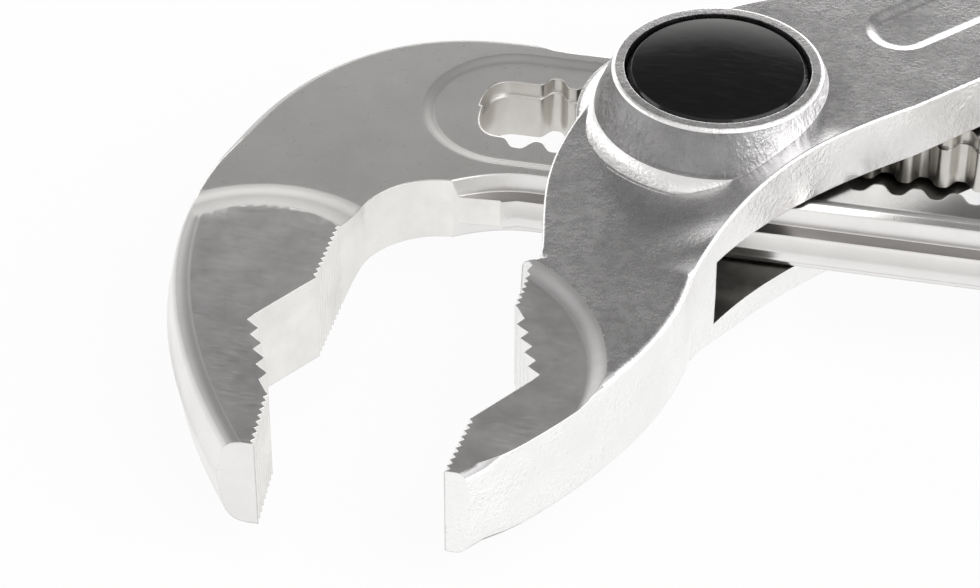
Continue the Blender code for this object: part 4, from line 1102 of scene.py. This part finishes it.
def dress(piece, base, rules=()):
    """Give a mesh its base finish, and others where a rule on a face's centre and normal holds."""
    mesh = piece.data
    mesh.materials.clear()
    for name in [base] + [name for name, _ in rules]:
        mesh.materials.append(FINISHES[name])
    for face in mesh.polygons:
        holds = [i for i, (_, rule) in enumerate(rules) if rule(face.center, face.normal)]
        face.material_index = holds[0] + 1 if holds else 0
    mesh.shade_smooth()
    mesh.set_sharp_from_angle(angle=SHARP_ANGLE)
    even = piece.modifiers.new("even_normals", "WEIGHTED_NORMAL")
    even.keep_sharp = True


def near(value, target):
    return abs(value - target) < NEARBY


def on_jaw_flat(centre, normal):
    height = centre.z - MIDDLE_PLANE
    return abs(normal.z) > TRUE_FLAT and (near(height, JAW_HALF) or near(height, -JAW_BACK))


def on_flat_edge(centre, normal):
    reach = hypot(centre.x - BOX_FLAT_CENTRE.x, centre.y - BOX_FLAT_CENTRE.y)
    return abs(normal.z) > SLANTED and reach < BOX_FLAT_RADIUS + BOX_FLAT_SLOPE


def on_slot_wall(centre, normal):
    across = abs(centre.y - ARM_CENTRE_Y)
    inside = across < PANEL_HALF_WIDTH - PANEL_SLOPE and abs(centre.x) < SLOT_STOP_X
    return inside and abs(normal.z) < UPRIGHT


def on_ledge(centre, normal):
    return abs(normal.z) > FLAT and near(abs(centre.z - MIDDLE_PLANE), TONGUE_HALF)


def on_milled_wall(centre, normal):
    return abs(normal.z) < UPRIGHT and centre.x < SLOT_STOP_X and abs(normal.y) < ALONG_ARM


def on_forged_wall(centre, normal):
    return abs(normal.z) < STEEP


def above_jaw(centre):
    return centre.z > MIDDLE_PLANE + JAW_HALF


def on_boss_wall(centre, normal):
    reach = hypot(centre.x, centre.y)
    inside = reach < BOSS_RADIUS + BOSS_TAPER + WALL_MARGIN
    return inside and above_jaw(centre) and abs(normal.z) < SLANTED


def on_boss_foot(centre, normal):
    reach = hypot(centre.x, centre.y)
    outward = (normal.x * centre.x + normal.y * centre.y) / reach
    return outward > FACING_OUT and reach < BOSS_RADIUS + BOSS_TAPER + BOSS_FILLET and above_jaw(centre)


# The cheeks' inner faces and the neck wall between them, which get the dark painted shade
def in_window(centre, normal):
    height = abs(centre.z - MIDDLE_PLANE)
    cheek = abs(normal.z) > FLAT and near(height, CHEEK_INNER)
    upright = abs(normal.z) < UPRIGHT and height < CHEEK_INNER
    return cheek or (upright and normal.y > FLAT and near(centre.y, NECK_WALL_Y))


def place_form(name, mesh, body):
    """Put a finer form in the place of a CAD node."""
    for vertex in mesh.vertices:
        vertex.co.z += MIDDLE_PLANE
    piece = add_object(f"{name}_form", mesh)
    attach(piece, body)
    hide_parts(name)
    return piece


def make_levers():
    arm_rules = [("pad", on_jaw_flat), ("slot", on_slot_wall), ("ledge", on_ledge)]
    arm_rules += [("milled", on_milled_wall)]
    box_rules = [("pad", on_jaw_flat), ("edge", on_flat_edge), ("inside_shade", in_window), ("boss", on_boss_wall)]
    # Painted light: side walls and the boss's foot fillet take the lighter wall copy
    box_rules += [("wall", on_boss_foot), ("wall", on_forged_wall)]
    levers = [("slotted_lever", make_slotted_lever(), "satin", arm_rules)]
    levers += [("box_lever", make_box_lever(), "blasted", box_rules)]
    for name, mesh, base, rules in levers:
        dress(place_form(name, mesh, name), base, rules)


def make_lock():
    """The button, the spring that shortens with it, and the CAD's own turned pieces."""
    dress(place_form("push_button", make_push_button(), "lock_bolt"), "plastic")
    spring = make_return_spring(COVER_TOP + RUN_GAP + WASHER_THICK, COLLAR_TOP + BUTTON_TRAVEL - RUN_GAP)
    spring = place_form("return_spring", spring, "carrier")
    dress(spring, "turned")
    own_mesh(spring)
    for name in ("lock_bolt", "thrust_washer", "back_cover"):
        dress(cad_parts[name], "turned")


def make_grips():
    tangs = [("slotted_lever", slotted_handle, SLOTTED_HANDLE_END)]
    tangs += [("box_lever", box_handle, BOX_HANDLE_LENGTH)]
    for body, core, tang_end in tangs:
        name = f"{body}_grip"
        end = tang_end + RUN_GAP + GRIP_WALL
        sleeve = grip(name, core, end - GRIP_LENGTH, end)
        dress(place_form(name, sleeve, body), "vinyl")


def make_floor():
    """A pale floor that shows white and keeps the object's shadow."""
    finish = bpy.data.materials.new("floor")
    nodes = Nodes(finish)
    path = nodes.add("LightPath").outputs
    shown = nodes.math("MAXIMUM", path["Is Camera Ray"], path["Is Glossy Ray"])
    shown = nodes.math("MAXIMUM", shown, path["Is Transmission Ray"])
    dull = nodes.add("BsdfDiffuse", {"Color": FLOOR_GREY}).outputs[0]
    glow = nodes.add("Emission", {"Color": WHITE, "Strength": 1.0}).outputs[0]
    mixed = nodes.add("MixShader", {0: SHADOW_SHARE, 1: glow, 2: dull}).outputs[0]
    both = nodes.add("MixShader", {0: shown, 1: dull, 2: mixed}).outputs[0]
    nodes.add("OutputMaterial", {"Surface": both})
    mesh = bpy.data.meshes.new("floor")
    square = [(x * FLOOR_REACH, y * FLOOR_REACH, 0) for x, y in ((-1, -1), (1, -1), (1, 1), (-1, 1))]
    mesh.from_pydata(square, [], [(0, 1, 2, 3)])
    mesh.materials.append(finish)
    floor = add_object("floor", mesh)
    floor.location.z = cad_box[0].z - FLOOR_GAP


def make_world():
    """A pale horizon, a grey band above it and a bright ceiling, with more light from behind and before."""
    world = bpy.data.worlds.new("studio")
    bpy.context.scene.world = world
    nodes = Nodes(world)
    way = nodes.add("TexCoord").outputs["Generated"]
    parts = nodes.add("SeparateXYZ", {0: way}).outputs
    sky = nodes.bands(parts["Z"], ROOM)
    for bands, start, end in ((BEHIND, 0.25, 0.8), (BEFORE, -0.15, -0.6)):
        facing = nodes.spread(parts["Y"], 0.0, 1.0, start, end)
        glow = nodes.vector("SCALE", {0: nodes.bands(parts["Z"], bands), "Scale": facing})[0]
        sky = nodes.vector("ADD", {0: sky, 1: glow})[0]
    light = nodes.add("Background", {"Color": sky, "Strength": 1.0}).outputs[0]
    white = nodes.add("Background", {"Color": WHITE, "Strength": 1.0}).outputs[0]
    seen = nodes.add("LightPath").outputs["Is Camera Ray"]
    both = nodes.add("MixShader", {0: seen, 1: light, 2: white}).outputs[0]
    nodes.add("OutputWorld", {"Surface": both})


def make_lamps():
    """A lamp on each side, turned to the pivot."""
    for name, spot, size, power in LAMPS:
        data = bpy.data.lights.new(name, "AREA")
        data.shape = "DISK"
        data.size = size
        data.energy = power
        lamp = add_object(name, data)
        lamp.location = spot
        lamp.rotation_mode = "QUATERNION"
        lamp.rotation_quaternion = (-spot).to_track_quat("-Z", "Y")


def make_camera():
    """The photo's camera: a long lens that looks down at the joint."""
    right = Vector((cos(CAMERA_TURN), sin(CAMERA_TURN), 0.0))
    ahead = Vector((-sin(CAMERA_TURN), cos(CAMERA_TURN), 0.0))
    look = ahead * cos(CAMERA_TILT)
    look.z = -sin(CAMERA_TILT)
    rows = Matrix((right, right.cross(look), -look))
    data = bpy.data.cameras.new("photo_camera")
    data.sensor_width = 36.0
    data.lens = FOCAL_PIXELS / PHOTO_WIDTH * data.sensor_width
    data.clip_start = 0.01
    camera = add_object("photo_camera", data)
    camera.matrix_world = Matrix.Translation(CAMERA_PLACE) @ rows.transposed().to_4x4()
    bpy.context.scene.camera = camera


make_levers()
make_lock()
make_grips()
make_floor()
make_world()
make_lamps()
make_camera()
bpy.context.scene.view_settings.view_transform = "Standard"
bpy.context.view_layer.update()
